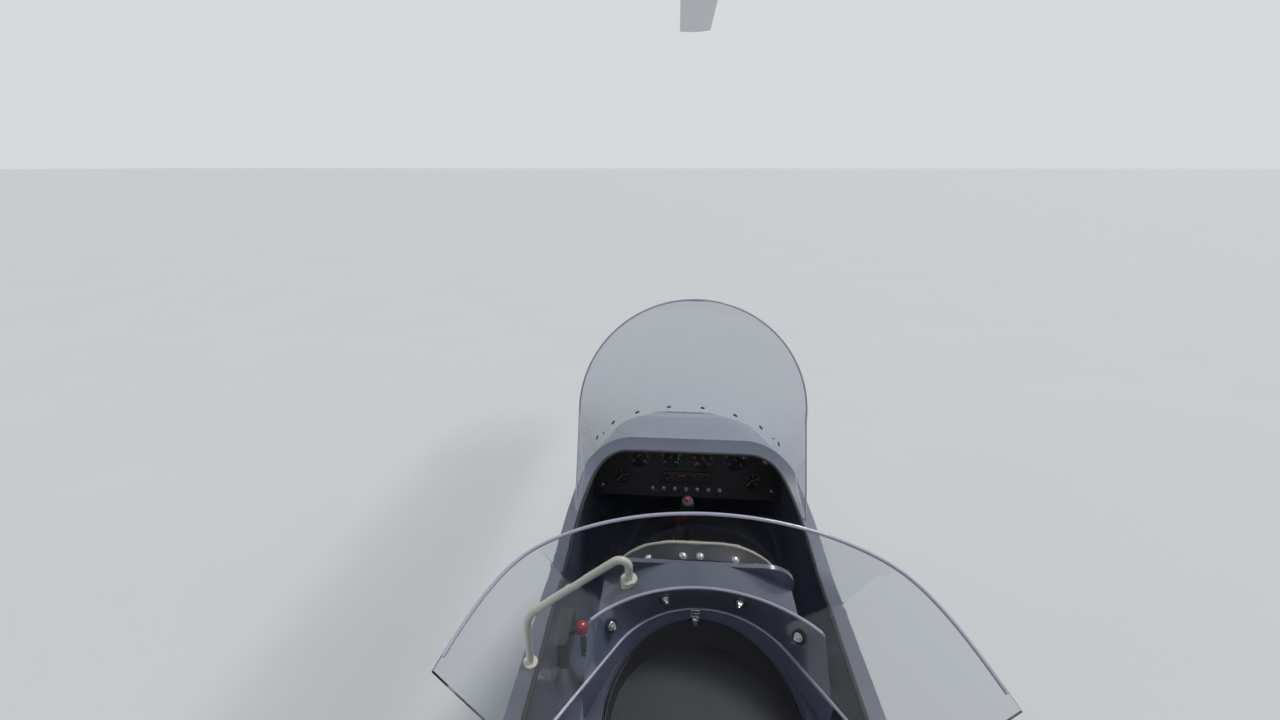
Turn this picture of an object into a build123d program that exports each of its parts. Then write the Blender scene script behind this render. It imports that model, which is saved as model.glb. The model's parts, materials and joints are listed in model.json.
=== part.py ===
"""Open two-seat tandem gyrocopter, parked on its three wheels with the rotor fore and aft.

A slim moulded tub with one long cockpit opening sits on a square steel keel beam. The
front seat's back carries a small grey hood with the rear screen on it, and the rear
occupant's legs pass either side of the front seat. A mast behind the rear seat carries a
gimballed head with a two-blade see-saw rotor. A flat-four pusher engine hangs behind the
mast on a welded tube frame, and the beam runs on aft under the propeller to the tail.

Frame: millimetres, +X to the right, +Y forward, +Z up. The origin is on the ground
straight below the centre of the rotor.
"""

import os
from math import cos, pi, radians, sin, tan

from build123d import *

os.makedirs("parts", exist_ok=True)

# Clearances
SEAT_GAP = 0.3  # a piece and the curved neighbour that it rests on
PIN_GAP = 0.05  # radial, a pin in its bore

# Wheels
TYRE_RADIUS = 200
TYRE_WIDTH = 100
BEAD_RADIUS = 100
FLANGE_LIP = 12
RIM_WIDTH = 84
RIM_WALL = 6
WEB_THICKNESS = 10
HUB_RADIUS = 32
HUB_LENGTH = 90
AXLE_RADIUS = 12.5
DISC_RADIUS = 72
DISC_THICKNESS = 5
DISC_OFFSET = 52  # inboard of the wheel's centre
CALIPER_SLOT = 16
MAIN_WHEEL_X = 830
MAIN_AXLE_Y = -300
NOSE_AXLE_Y = 1690
STEER_Y = 1750
STEER_RADIUS = 16
CROWN_TOP = 434
CROWN_THICKNESS = 26
FORK_LEG_X = 68
FORK_LEG_THICKNESS = 12
TOW_PIN_RADIUS = 8
TOW_PIN_LENGTH = 26

# Main gear spring: (x, z of its middle plane) from the beam outwards
BOW_THICKNESS = 26
BOW_WIDTH = 140
BOW_SLOPE_START = 120
BOW_SLOPE_END = 590
BOW_END = 735
BOW_BEND = 160
AXLE_BLOCK = (95, 80, 56)  # along x, y and z
GUARD_RADIUS = 226
GUARD_WALL = 4
GUARD_WIDTH = 130
GUARD_ARC = (25, 140)  # degrees up from straight aft to its front edge

# Keel beam: (y, z) along its centreline, nose to tail
BEAM_WIDTH = 60
BEAM_HEIGHT = 70
BEAM_WALL = 3
BEAM_NOSE_Z = 490
BEAM_Z = 315
BEAM_TAIL_Z = 440
BEAM_FRONT = 1815
BEAM_PATH = [
    (BEAM_FRONT, BEAM_NOSE_Z),
    (1590, BEAM_NOSE_Z),
    (1330, BEAM_Z),
    (-880, BEAM_Z),
    (-2080, BEAM_TAIL_Z),
    (-2640, BEAM_TAIL_Z),
]
BEAM_BEND = 60
HEAD_TUBE_RADIUS = 24
TIE_DOWN_RADIUS = 12
TIE_DOWN = (-2592, 336)
SKID_FRONT = -2300
# Skid's outline behind that, (y, z)
SKID_OUTLINE = [(-2636, 330), (-2600, 300), (-2540, 300)]

# Mast and rotor head
MAST_Y = 25
MAST_WIDTH = 60
MAST_DEPTH = 80
MAST_WALL = 4
TUB_BRACKET = (900, 960)
TEETER_Z = 2592
MAST_TOP = TEETER_Z - 270
ROLL_Z = TEETER_Z - 232
PITCH_Z = TEETER_Z - 192
HEAD_BOLT_RADIUS = 8
GIMBAL_WIDTH = 44
GIMBAL_DEPTH = 60
BRIDGE_INNER = 32
BRIDGE_PLATE = 8
BRIDGE_TOP = TEETER_Z - 140
ARM_Y = -80
ARM_RADIUS = 12
ARM_HALF_SPAN = 166
ROD_X = 188
ROD_RADIUS = 8
ROD_FOOT_Z = 620
HOUSING_RADIUS = 42
HOUSING_TOP = TEETER_Z - 97
SHAFT_RADIUS = 14
RING_GEAR_RADIUS = 112
RING_GEAR_Z = TEETER_Z - 87
RING_GEAR_THICKNESS = 8
RING_GEAR_TEETH = 60
TOOTH_HEIGHT = 5
PINION_RADIUS = 16
TOWER_INNER = 52
TOWER_PLATE = 8
HUB_BAR_THICKNESS = 28
# Hub bar in plan, (y, half width): the end of its wide middle, and its waist
HUB_WAIST = [(90, 45), (160, 34)]
BLADE_Z = TEETER_Z - 46
GRIP_START = 540
GRIP_END = 720
GRIP_SIDES = (-50, 62)
BLADE_ROOT = 565
ROTOR_RADIUS = 4200
BLADE_CHORD = 200
BLADE_LEADING = 60  # leading edge ahead of the blade's own axis

# Engine and propeller
CRANK_Z = 1190
CASE_FRONT = -190
CASE_REAR = -540
CASE_HALF_WIDTH = 95
CASE_LOW = 1085
CASE_HIGH = 1290
BARREL_RADIUS = 52
FIN_RADIUS = 66
FIN_THICKNESS = 3
FIN_PITCH = 10
FIN_COUNT = 9
HEAD_INNER = 188
HEAD_OUTER = 272
HEAD_HEIGHT = 110
HEAD_LENGTH = 124
COVER_DEPTH = 26
COVER_TAPER = 12
# (side, y of the cylinder's axis): the banks are staggered along the crankshaft
CYLINDERS = [(1, -262), (1, -400), (-1, -292), (-1, -430)]
BEARER_X = 120
BEARER_Z = 1040
FRAME_TUBE_RADIUS = 15
FRAME_TUBE_WALL = 3
MOUNT_ROWS = [-235, -500]
RUBBER_RADIUS = 20
MUFFLER_RADIUS = 75
MUFFLER_HALF_LENGTH = 255
MUFFLER_Y = -450
MUFFLER_Z = 800
PIPE_RADIUS = 17
GEARBOX_REAR = -640
RADIATOR = (150, 1480, 1740, -50, -95)  # half width, low and high z, near and far y
OIL_TANK = (-100, -52, 1120, 1330, 54)  # x, y, low and high z, radius
PROP_Z = 1262
PROP_Y = -745
PROP_RADIUS = 865
PROP_HUB_RADIUS = 58
PROP_BLADES = 3
# (distance from the hub's centre, chord, thickness, angle to the disc in degrees)
PROP_SECTIONS = [
    (40, 62, 34, 40),
    (180, 112, 22, 34),
    (460, 104, 13, 22),
    (PROP_RADIUS, 52, 6, 14),
]

# Tub: one section in each row, tail to nose
# (y, half width, lowest z, highest z, corner radius)
TUB_SECTIONS = [
    (70, 285, 348, 1045, 120),
    (520, 322, 348, 1040, 130),
    (1150, 326, 348, 1015, 140),
    (1560, 316, 430, 990, 150),
    (1880, 280, 462, 905, 145),
    (2130, 205, 475, 800, 120),
    (2270, 130, 495, 715, 88),
    (2332, 62, 530, 655, 50),
]
TUB_REAR = TUB_SECTIONS[0][0]
TUB_FRONT = TUB_SECTIONS[-1][0]
TUB_WALL = 10
COAMING_WIDTH = 34
COAMING_DEPTH = 12
# Top edge of the cockpit sides, (y, z), from the rear seat to the nose deck
COAMING_LINE = [(105, 1010), (330, 905), (620, 850), (1230, 840), (1560, 905), (1700, 1100)]
COAMING_BENDS = [120, 260, 400, 260]
PANEL_Y = 1655
PANEL_TILT = 15
PANEL_LOW = 740
PANEL_THICKNESS = 5
# (x, height up the panel from its lower edge, bezel radius)
DIALS = [(-150, 130, 42), (-50, 130, 42), (50, 130, 42), (150, 130, 42), (-205, 62, 30), (205, 62, 30)]

# Seats: (name, y and z of the shell's inner corner, width, back length, recline in degrees,
# how far the back cushion stops below the shell's top)
SEATS = [
    ("front", 1150, 490, 340, 600, 12.2, 2),
    ("rear", 250, 560, 400, 590, 10, 36),
]
SEAT_SHELL = 8
SEAT_PAN_LENGTH = 430
SEAT_PAN_RISE = 8
CUSHION_THICKNESS = 50
CUSHION_INSET = 12
CUSHION_CORNER = 20
SEAT_CORNER_RADIUS = 48
SEAT_PLATE_LOW = 300
SEAT_PLATE_LENGTH = 390

# Hood behind the front seat's back, with a pocket that opens aft
HOOD_HALF_WIDTH = 166
HOOD_REAR = 740
HOOD_LOW = 985
HOOD_TOP = 1080
HOOD_SIDE_TOP = 1022
HOOD_WALL = 5
POCKET_RADIUS = 134
POCKET_CENTRE_Y = 781
POCKET_FLOOR = 1010
# Flange round the pocket, which flares upwards and carries the rear screen
FLANGE_HEIGHT = 56
FLANGE_WALL = 4

# Screens
SCREEN_WALL = 4
# Front screen: round in plan, sloping back
SCREEN_RADIUS = 300
SCREEN_SLOPE = 46.8
SCREEN_CENTRE_Y = 1510  # of the round part, at SCREEN_CENTRE_Z
SCREEN_CENTRE_Z = 1090
# Rear edge of the front screen, (y, z), from its top to the coaming
SCREEN_EDGE = [(1495, 1450), (1512, 1100), (1385, 840)]
# Rear screen
REAR_SCREEN_HALF_WIDTH = 360
REAR_SCREEN_TOP = 1302
REAR_SCREEN_LOW = 1086
# Where the flat top arc turns into the round side, (x, z) in the view from ahead
REAR_SCREEN_SHOULDER = (232, 1260)
REAR_SCREEN_TOP_Y = 862
REAR_SCREEN_TOP_RADIUS = 963
REAR_SCREEN_TOP_ARC = 15
REAR_SCREEN_BEND = 150
REAR_SCREEN_LEG = 232
REAR_SCREEN_LEG_ANGLE = 30.5
REAR_SCREEN_REAR = 690

# Controls
RAIL_RADIUS = 7
RAIL_LINE = [(-118, 990, 1042), (-118, 990, 1118), (-306, 990, 960), (-306, 985, 844.6)]
RAIL_BENDS = [15, 60]
RAIL_FEET = (20, 4)
GRIP_RADIUS = 17
GRIP_LENGTH = 120
STICKS = [(1632, 525, 1515, 830), (740, 358, 655, 880)]
PEDALS = [(105, 2030, 500), (246, 1270, 416)]

# Tail
TAIL_HALF_SPAN = 745
TAILPLANE_LEADING = -2130
TAILPLANE_TRAILING = -2610
TAILPLANE_THICKNESS = 34
SIDE_FIN_THICKNESS = 18
# (y, z)
SIDE_FIN_OUTLINE = [
    (-2090, 420), (-2190, 340), (-2570, 330), (-2620, 470), (-2620, 860), (-2460, 880), (-2090, 560)
]
FIN_FOOT_THICKNESS = 38
FIN_TIP_THICKNESS = 30
FIN_TOP = 1300
FIN_FOOT_LEADING = -2090
FIN_TIP_LEADING = -2330
HINGE_Y = -2510
RUDDER_NOSE = 14
RUDDER_GAP = 7
RUDDER_LOW = 530
RUDDER_TOP = 1296
RUDDER_FOOT_TRAILING = -2830
RUDDER_TIP_TRAILING = -2700
RUDDER_HINGES = [720, 1130]
RUDDER_PIN_RADIUS = 4
LUG_THICKNESS = 12

BEAM_TOP = BEAM_Z + BEAM_HEIGHT / 2
TAIL_BEAM_TOP = BEAM_TAIL_Z + BEAM_HEIGHT / 2
BOW_MIDDLE_Z = BEAM_TOP + BOW_THICKNESS / 2
BOW_END_Z = TYRE_RADIUS + AXLE_BLOCK[2] / 2 + BOW_THICKNESS / 2
MAST_REAR = MAST_Y - MAST_DEPTH / 2
MAST_FRONT = MAST_Y + MAST_DEPTH / 2


def save(piece, name):
    piece.label = name
    export_step(piece, f"parts/{name}.step")


def tube(start, end, radius, bore=0.0, mode=Mode.ADD):
    """A round tube or bar from start to end."""
    a, b = Vector(start), Vector(end)
    with BuildSketch(Plane(origin=a, z_dir=b - a)) as ring:
        Circle(radius)
        if bore:
            Circle(bore, mode=Mode.SUBTRACT)
    extrude(ring.sketch, amount=(b - a).length, mode=mode)


def bent_tube(points, radius, bends, bore=0.0):
    """A round tube along straight runs joined by tangent arcs."""
    with BuildLine() as path:
        FilletPolyline(*points, radius=bends)
    with BuildSketch(Plane(origin=path.line @ 0, z_dir=path.line % 0)) as ring:
        Circle(radius)
        if bore:
            Circle(bore, mode=Mode.SUBTRACT)
    sweep(ring.sketch, path=path.line)


def block(x, y, z, mode=Mode.ADD):
    """A box between pairs of limits along each axis."""
    with Locations(((x[0] + x[1]) / 2, (y[0] + y[1]) / 2, (z[0] + z[1]) / 2)):
        Box(x[1] - x[0], y[1] - y[0], z[1] - z[0], mode=mode)


def profile_yz(points):
    """A face in the side view, from (y, z) points."""
    with BuildSketch(Plane.YZ) as side:
        with BuildLine():
            Polyline(*points, close=True)
        make_face()
    return side.sketch


def lens(width, thickness, plane):
    """A face on the plane, bounded by two arcs along the plane's x."""
    with BuildSketch(plane) as section:
        with BuildLine():
            ThreePointArc((-width / 2, 0), (0, thickness / 2), (width / 2, 0))
            ThreePointArc((width / 2, 0), (0, -thickness / 2), (-width / 2, 0))
        make_face()
    return section.sketch


def tub_form(inset):
    """The tub's closed outer form, with every face moved inwards by inset."""
    with BuildPart() as form:
        for y, half, low, high, corner in TUB_SECTIONS:
            at = y + inset if y == TUB_REAR else y - inset if y == TUB_FRONT else y
            section = Plane(origin=(0, at, (low + high) / 2), x_dir=(1, 0, 0), z_dir=(0, -1, 0))
            with BuildSketch(section):
                RectangleRounded(2 * (half - inset), high - low - 2 * inset, max(corner - inset, 5))
        loft(ruled=True)
    return form.part


def above_coaming(drop):
    """All that lies above the coaming line lowered by drop."""
    points = [(y, z - drop) for y, z in COAMING_LINE]
    with BuildPart() as space:
        with BuildSketch(Plane.YZ):
            with BuildLine():
                edge = FilletPolyline(*points, radius=COAMING_BENDS)
                Polyline(edge @ 1, (points[-1][0], 1600), (points[0][0], 1600), edge @ 0)
            make_face()
        extrude(amount=600, both=True)
    return space.part


# Keel beam, with the nose leg's head tube and the tail skid
with BuildPart() as keel_beam:
    with BuildLine() as beam_line:
        FilletPolyline(*[(0, y, z) for y, z in BEAM_PATH], radius=BEAM_BEND)
    with BuildSketch(Plane(origin=beam_line.line @ 0, x_dir=(1, 0, 0), z_dir=beam_line.line % 0)):
        RectangleRounded(BEAM_WIDTH, BEAM_HEIGHT, 8)
        RectangleRounded(BEAM_WIDTH - 2 * BEAM_WALL, BEAM_HEIGHT - 2 * BEAM_WALL, 5, mode=Mode.SUBTRACT)
    sweep()
    head_low = BEAM_NOSE_Z - BEAM_HEIGHT / 2 - 6
    head_high = BEAM_NOSE_Z + BEAM_HEIGHT / 2 + 6
    tube((0, STEER_Y, head_low), (0, STEER_Y, head_high), HEAD_TUBE_RADIUS)
    tube((0, STEER_Y, head_low - 1), (0, STEER_Y, head_high + 1), STEER_RADIUS + PIN_GAP, mode=Mode.SUBTRACT)
    skid_top = BEAM_TAIL_Z - BEAM_HEIGHT / 2 + BEAM_WALL
    with BuildSketch(Plane.YZ):
        with BuildLine():
            Polyline((SKID_FRONT, skid_top), (BEAM_PATH[-1][0] + 10, skid_top), *SKID_OUTLINE, close=True)
        make_face()
        with Locations(TIE_DOWN):
            Circle(TIE_DOWN_RADIUS, mode=Mode.SUBTRACT)
    extrude(amount=5, both=True)
save(keel_beam.part, "keel_beam")

# Tub
tub_outer = tub_form(0)
tub_inner = tub_form(TUB_WALL)
tub_room = tub_form(TUB_WALL + SEAT_GAP)
tub_inside_lip = tub_form(COAMING_WIDTH)
open_space = above_coaming(0)
lip_space = above_coaming(COAMING_DEPTH)

with BuildPart() as lip:
    add(tub_outer)
    add(lip_space, mode=Mode.INTERSECT)
    add(tub_inside_lip, mode=Mode.SUBTRACT)

with BuildPart() as fuselage_tub:
    add(tub_outer)
    add(tub_inner, mode=Mode.SUBTRACT)
    add(lip.part)
    add(open_space, mode=Mode.SUBTRACT)
    # Flat seat on the beam, and the slot where the beam rises into the nose
    slot = profile_yz(
        [(-100, 0), (-100, BEAM_TOP), (1305, BEAM_TOP), (1574, 531), (BEAM_FRONT + 3, 531), (BEAM_FRONT + 3, 0)]
    )
    extrude(slot, amount=BEAM_WIDTH / 2 + SEAT_GAP, both=True, mode=Mode.SUBTRACT)
save(fuselage_tub.part, "fuselage_tub")

# Instrument panel under the nose deck, tilted towards the front seat
panel_plane = Plane(
    origin=(0, PANEL_Y, PANEL_LOW),
    x_dir=(1, 0, 0),
    z_dir=(0, -cos(radians(PANEL_TILT)), sin(radians(PANEL_TILT))),
)
with BuildPart() as instrument_panel:
    with BuildSketch(panel_plane):
        with Locations((0, 150)):
            RectangleRounded(640, 300, 30)
    extrude(amount=-PANEL_THICKNESS)
    add(tub_room, mode=Mode.INTERSECT)
    add(open_space, mode=Mode.SUBTRACT)
    for x, up, radius in DIALS:
        with BuildSketch(panel_plane):
            with Locations((x, up)):
                Circle(radius)
                Circle(radius - 5, mode=Mode.SUBTRACT)
        extrude(amount=6)
save(instrument_panel.part, "instrument_panel")

# Seats: a bent shell on two side plates, with two cushions
for name, corner_y, corner_z, width, back, recline, cushion_drop in SEATS:
    lean = radians(recline)
    rise = radians(SEAT_PAN_RISE)
    corner = Vector(corner_y, corner_z)
    along_back = Vector(-sin(lean), cos(lean))
    off_back = Vector(cos(lean), sin(lean))
    along_pan = Vector(cos(rise), sin(rise))
    off_pan = Vector(-sin(rise), cos(rise))
    top = corner + along_back * back
    front = corner + along_pan * SEAT_PAN_LENGTH
    # The shell's lower and rear faces meet here
    heel = corner - (off_back + off_pan) * (SEAT_SHELL / (1 + sin(lean - rise)))
    with BuildPart() as shell:
        side_view = profile_yz([
            (top.X, top.Y), (corner.X, corner.Y), (front.X, front.Y),
            (front.X - off_pan.X * SEAT_SHELL, front.Y - off_pan.Y * SEAT_SHELL),
            (heel.X, heel.Y),
            (top.X - off_back.X * SEAT_SHELL, top.Y - off_back.Y * SEAT_SHELL),
        ])
        extrude(side_view, amount=width / 2, both=True)
        fillet(shell.edges().filter_by(lambda edge: abs(edge.length - SEAT_SHELL) < 0.01), SEAT_CORNER_RADIUS)
    with BuildPart() as seat:
        for x in (-width / 2 + 14, width / 2 - 14 - SEAT_SHELL):
            plate = profile_yz([
                (corner_y, corner_z - SEAT_SHELL / 2), (corner_y, SEAT_PLATE_LOW),
                (corner_y + SEAT_PLATE_LENGTH - 60, SEAT_PLATE_LOW),
                (corner_y + SEAT_PLATE_LENGTH, corner_z - SEAT_SHELL / 2 + SEAT_PLATE_LENGTH * tan(rise)),
            ])
            extrude(plate.moved(Location((x, 0, 0))), amount=SEAT_SHELL)
        add(tub_room, mode=Mode.INTERSECT)
        add(shell.part)
    save(seat.part, f"{name}_seat")
    for kind, along, off, start, length in (
        ("cushion", along_pan, off_pan, CUSHION_THICKNESS + 10, SEAT_PAN_LENGTH - CUSHION_THICKNESS - 20),
        ("backrest", along_back, off_back, CUSHION_THICKNESS + 14, back - CUSHION_THICKNESS - 14 - cushion_drop),
    ):
        low = corner + along * start + off * SEAT_GAP
        cushion_plane = Plane(
            origin=(0, low.X, low.Y),
            x_dir=Vector(0, along.X, along.Y).cross(Vector(0, off.X, off.Y)),
            z_dir=(0, off.X, off.Y),
        )
        with BuildPart() as cushion:
            with BuildSketch(cushion_plane) as outline:
                with Locations((0, length / 2)):
                    Rectangle(width - 2 * CUSHION_INSET, length)
                ends = outline.vertices().sort_by(Axis.Y)
                fillet(ends[:2], CUSHION_CORNER)
                fillet(outline.vertices().sort_by(Axis.Y)[-2:], SEAT_CORNER_RADIUS - CUSHION_INSET)
            extrude(amount=CUSHION_THICKNESS)
            fillet(cushion.edges(), 9)
        save(cushion.part, f"{name}_{kind}")
    if name == "front":
        front_back_plane = Plane(
            origin=(0, corner.X - off_back.X * SEAT_SHELL, corner.Y - off_back.Y * SEAT_SHELL),
            x_dir=(1, 0, 0),
            z_dir=(0, off_back.X, off_back.Y),
        )


def screen_form(out):
    """Solid ahead of which the rear screen bends, with its face moved outwards by out."""
    foot_radius = POCKET_RADIUS + out
    leg = radians(REAR_SCREEN_LEG_ANGLE)
    foot_centre = Vector(0, POCKET_CENTRE_Y)
    shoulder = foot_centre + Vector(cos(leg), sin(leg)) * foot_radius
    foot_end = shoulder + Vector(sin(leg), -cos(leg)) * REAR_SCREEN_LEG
    turn = radians(90 - REAR_SCREEN_TOP_ARC)
    top_centre = Vector(0, REAR_SCREEN_TOP_Y - REAR_SCREEN_TOP_RADIUS)
    bend_centre = top_centre + Vector(cos(turn), sin(turn)) * (REAR_SCREEN_TOP_RADIUS - REAR_SCREEN_BEND)
    top_radius = REAR_SCREEN_TOP_RADIUS + out
    bend = REAR_SCREEN_BEND + out
    brow = top_centre + Vector(cos(turn), sin(turn)) * top_radius
    cheek = bend_centre + Vector(cos(turn / 2), sin(turn / 2)) * bend
    tip = bend_centre + Vector(1, 0) * bend
    with BuildPart() as form:
        with BuildSketch(Plane.XY.offset(HOOD_TOP)):
            with BuildLine():
                ThreePointArc(
                    (-shoulder.X, shoulder.Y), (0, POCKET_CENTRE_Y + foot_radius), (shoulder.X, shoulder.Y)
                )
                Polyline(
                    (shoulder.X, shoulder.Y), (foot_end.X, foot_end.Y),
                    (-foot_end.X, foot_end.Y), (-shoulder.X, shoulder.Y),
                )
            make_face()
        with BuildSketch(Plane.XY.offset(REAR_SCREEN_TOP + 10)):
            with BuildLine():
                ThreePointArc((-brow.X, brow.Y), (0, REAR_SCREEN_TOP_Y + out), (brow.X, brow.Y))
                ThreePointArc((brow.X, brow.Y), (cheek.X, cheek.Y), (tip.X, tip.Y))
                Line((tip.X, tip.Y), (-tip.X, tip.Y))
                ThreePointArc((-tip.X, tip.Y), (-cheek.X, cheek.Y), (-brow.X, brow.Y))
            make_face()
        loft(ruled=True)
    return form.part


def pocket_outline(radius, z):
    """Round-ended outline in plan that opens aft through the hood's rear edge."""
    with BuildSketch(Plane.XY.offset(z)) as outline:
        with BuildLine():
            ThreePointArc(
                (-radius, POCKET_CENTRE_Y), (0, POCKET_CENTRE_Y + radius), (radius, POCKET_CENTRE_Y)
            )
            Polyline(
                (radius, POCKET_CENTRE_Y), (radius, HOOD_REAR - 1),
                (-radius, HOOD_REAR - 1), (-radius, POCKET_CENTRE_Y),
            )
        make_face()
    return outline.sketch


# Rear screen, a bent clear sheet that flares upwards from the hood
screen_outside = screen_form(0)
screen_inside = screen_form(-SCREEN_WALL)
flange_inside = screen_form(SEAT_GAP)
flange_outside = screen_form(SEAT_GAP + FLANGE_WALL)
with BuildPart() as rear_windscreen:
    add(screen_outside)
    add(screen_inside, mode=Mode.SUBTRACT)
    with BuildSketch(Plane(origin=(0, 1200, 0), x_dir=(1, 0, 0), z_dir=(0, -1, 0))) as front_view:
        with BuildLine():
            across, up = REAR_SCREEN_SHOULDER
            top_arc = ThreePointArc((-across, up), (0, REAR_SCREEN_TOP), (across, up))
            right = TangentArc(top_arc @ 1, (REAR_SCREEN_HALF_WIDTH, REAR_SCREEN_LOW), tangent=top_arc % 1)
            left = TangentArc(
                top_arc @ 0, (-REAR_SCREEN_HALF_WIDTH, REAR_SCREEN_LOW), tangent=top_arc % 0 * -1
            )
            Line(left @ 1, right @ 1)
        make_face()
    extrude(amount=700, mode=Mode.INTERSECT)
    # The closing face of the form behind the sheet
    block((-400, 400), (300, REAR_SCREEN_REAR), (1000, 1400), mode=Mode.SUBTRACT)
save(rear_windscreen.part, "rear_windscreen")

def below_crown(drop):
    """All that lies below the hood's crowned top lowered by drop."""
    with BuildPart() as form:
        with BuildSketch(Plane.XZ):
            with BuildLine():
                crown = ThreePointArc(
                    (-HOOD_HALF_WIDTH, HOOD_SIDE_TOP - drop),
                    (0, HOOD_TOP - drop),
                    (HOOD_HALF_WIDTH, HOOD_SIDE_TOP - drop),
                )
                Polyline(
                    crown @ 1, (HOOD_HALF_WIDTH, HOOD_LOW - 1), (-HOOD_HALF_WIDTH, HOOD_LOW - 1), crown @ 0
                )
            make_face()
        extrude(amount=1100, both=True)
    return form.part


# Hood on the front seat's back, a thin crowned moulding that is open below, with a flared flange
outer_crown = below_crown(0)
inner_crown = below_crown(HOOD_WALL)
with BuildPart() as flange:
    for form, mode in ((flange_outside, Mode.ADD), (flange_inside, Mode.SUBTRACT)):
        add(form, mode=mode)
        # Straight down from the form's foot to the crown
        extrude(form.faces().sort_by(Axis.Z)[0], amount=HOOD_TOP - HOOD_SIDE_TOP, dir=(0, 0, -1), mode=mode)
    block(
        (-HOOD_HALF_WIDTH + 6, HOOD_HALF_WIDTH - 6),
        (HOOD_REAR, 1000),
        (HOOD_SIDE_TOP, HOOD_TOP + FLANGE_HEIGHT),
        mode=Mode.INTERSECT,
    )
    add(inner_crown, mode=Mode.SUBTRACT)
with BuildPart() as hood_inside:
    block(
        (-HOOD_HALF_WIDTH + HOOD_WALL, HOOD_HALF_WIDTH - HOOD_WALL),
        (HOOD_REAR + HOOD_WALL, 1100),
        (HOOD_LOW, HOOD_TOP),
    )
    add(inner_crown, mode=Mode.INTERSECT)
    extrude(pocket_outline(POCKET_RADIUS + HOOD_WALL, POCKET_FLOOR - HOOD_WALL), amount=100, mode=Mode.SUBTRACT)
    split(bisect_by=front_back_plane.offset(-HOOD_WALL), keep=Keep.BOTTOM)
with BuildPart() as screen_hood:
    block((-HOOD_HALF_WIDTH, HOOD_HALF_WIDTH), (HOOD_REAR, 1050), (HOOD_LOW, HOOD_TOP))
    add(outer_crown, mode=Mode.INTERSECT)
    add(hood_inside.part, mode=Mode.SUBTRACT)
    extrude(pocket_outline(POCKET_RADIUS, POCKET_FLOOR), amount=100, mode=Mode.SUBTRACT)
    split(bisect_by=front_back_plane, keep=Keep.BOTTOM)
    add(flange.part)
save(screen_hood.part, "screen_hood")

# Front screen: a sheet bent round in plan and extruded along its slope
slope = radians(SCREEN_SLOPE)
tub_skin = tub_form(-SEAT_GAP)
space_above_lip = above_coaming(-SEAT_GAP)
with BuildPart() as below_screen:
    add(tub_skin)
    add(space_above_lip, mode=Mode.SUBTRACT)
with BuildPart() as front_windscreen:
    with BuildSketch(Plane.XY.offset(SCREEN_CENTRE_Z)) as bend:
        for radius, mode in ((SCREEN_RADIUS, Mode.ADD), (SCREEN_RADIUS - SCREEN_WALL, Mode.SUBTRACT)):
            with Locations((0, SCREEN_CENTRE_Y)):
                Circle(radius, mode=mode)
            with Locations((0, SCREEN_CENTRE_Y - 250)):
                Rectangle(2 * radius, 500, mode=mode)
    extrude(bend.sketch, amount=450, dir=(0, -cos(slope), sin(slope)), both=True)
    top_z = SCREEN_EDGE[0][1]
    low_y = SCREEN_EDGE[-1][0]
    extrude(
        profile_yz([*SCREEN_EDGE, (low_y, PANEL_LOW), (TUB_FRONT, PANEL_LOW), (TUB_FRONT, top_z)]),
        amount=400,
        both=True,
        mode=Mode.INTERSECT,
    )
    add(below_screen.part, mode=Mode.SUBTRACT)
save(front_windscreen.part, "front_windscreen")

# Grab rail from the hood's crown to the left coaming, with a round foot at each end
with BuildPart() as grab_rail:
    bent_tube(RAIL_LINE, RAIL_RADIUS, RAIL_BENDS)
    for (x, y, z), height in zip((RAIL_LINE[0], RAIL_LINE[-1]), RAIL_FEET):
        tube((x, y, z), (x, y, z + height), 2 * RAIL_RADIUS)
    add(below_crown(-SEAT_GAP), mode=Mode.SUBTRACT)
save(grab_rail.part, "grab_rail")

# Throttle: a quadrant box on the left wall of the front cockpit, with a ball-ended lever
with BuildPart() as throttle_lever:
    block((-325, -292), (1190, 1300), (560, 640))
    add(tub_room, mode=Mode.INTERSECT)
    tube((-300, 1245, 610), (-258, 1213, 672), 6)
    with Locations((-256, 1211, 676)):
        Sphere(17)
save(throttle_lever.part, "throttle_lever")

# Control sticks: (y and z of the foot, y and z of the grip's top)
with BuildPart() as control_sticks:
    for foot_y, foot_z, grip_y, grip_z in STICKS:
        reach = Vector(0, grip_y - foot_y, grip_z - foot_z).normalized()
        grip_top = Vector(0, grip_y, grip_z)
        grip_low = grip_top - reach * GRIP_LENGTH
        block((-25, 25), (foot_y - 32, foot_y + 32), (foot_z, foot_z + 34))
        tube(Vector(0, foot_y, foot_z + 20), grip_low, 9)
        tube(grip_low, grip_top, GRIP_RADIUS)
    fillet(control_sticks.edges().filter_by(GeomType.CIRCLE).filter_by(
        lambda edge: abs(edge.radius - GRIP_RADIUS) < 0.01), 5)
save(control_sticks.part, "control_sticks")

# Rudder pedals, front pair and rear pair: (x, y, z of the pivot)
with BuildPart() as pedals:
    for x, y, z in PEDALS:
        for side in (-1, 1):
            block((side * x - 14, side * x + 14), (y - 14, y + 14), (300, z + 8))
    add(tub_room, mode=Mode.INTERSECT)
    for x, y, z in PEDALS:
        for side in (-1, 1):
            tube((side * x, y, z), (side * x, y + 14, z + 92), 6)
            block((side * x - 32, side * x + 32), (y + 8, y + 14), (z + 76, z + 152))
save(pedals.part, "pedals")

# Round landing light on the flat of the nose
light_z = (TUB_SECTIONS[-1][2] + TUB_SECTIONS[-1][3]) / 2
with BuildPart() as landing_light:
    tube((0, TUB_FRONT, light_z), (0, TUB_FRONT + 14, light_z), 46)
    fillet(landing_light.faces().sort_by(Axis.Y)[-1].edges(), 5)
save(landing_light.part, "landing_light")


def facing_aft(y):
    """Plane across the machine with x to the right and y up, whose normal points aft."""
    return Plane(origin=(0, y, 0), x_dir=(1, 0, 0), z_dir=(0, -1, 0))


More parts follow.
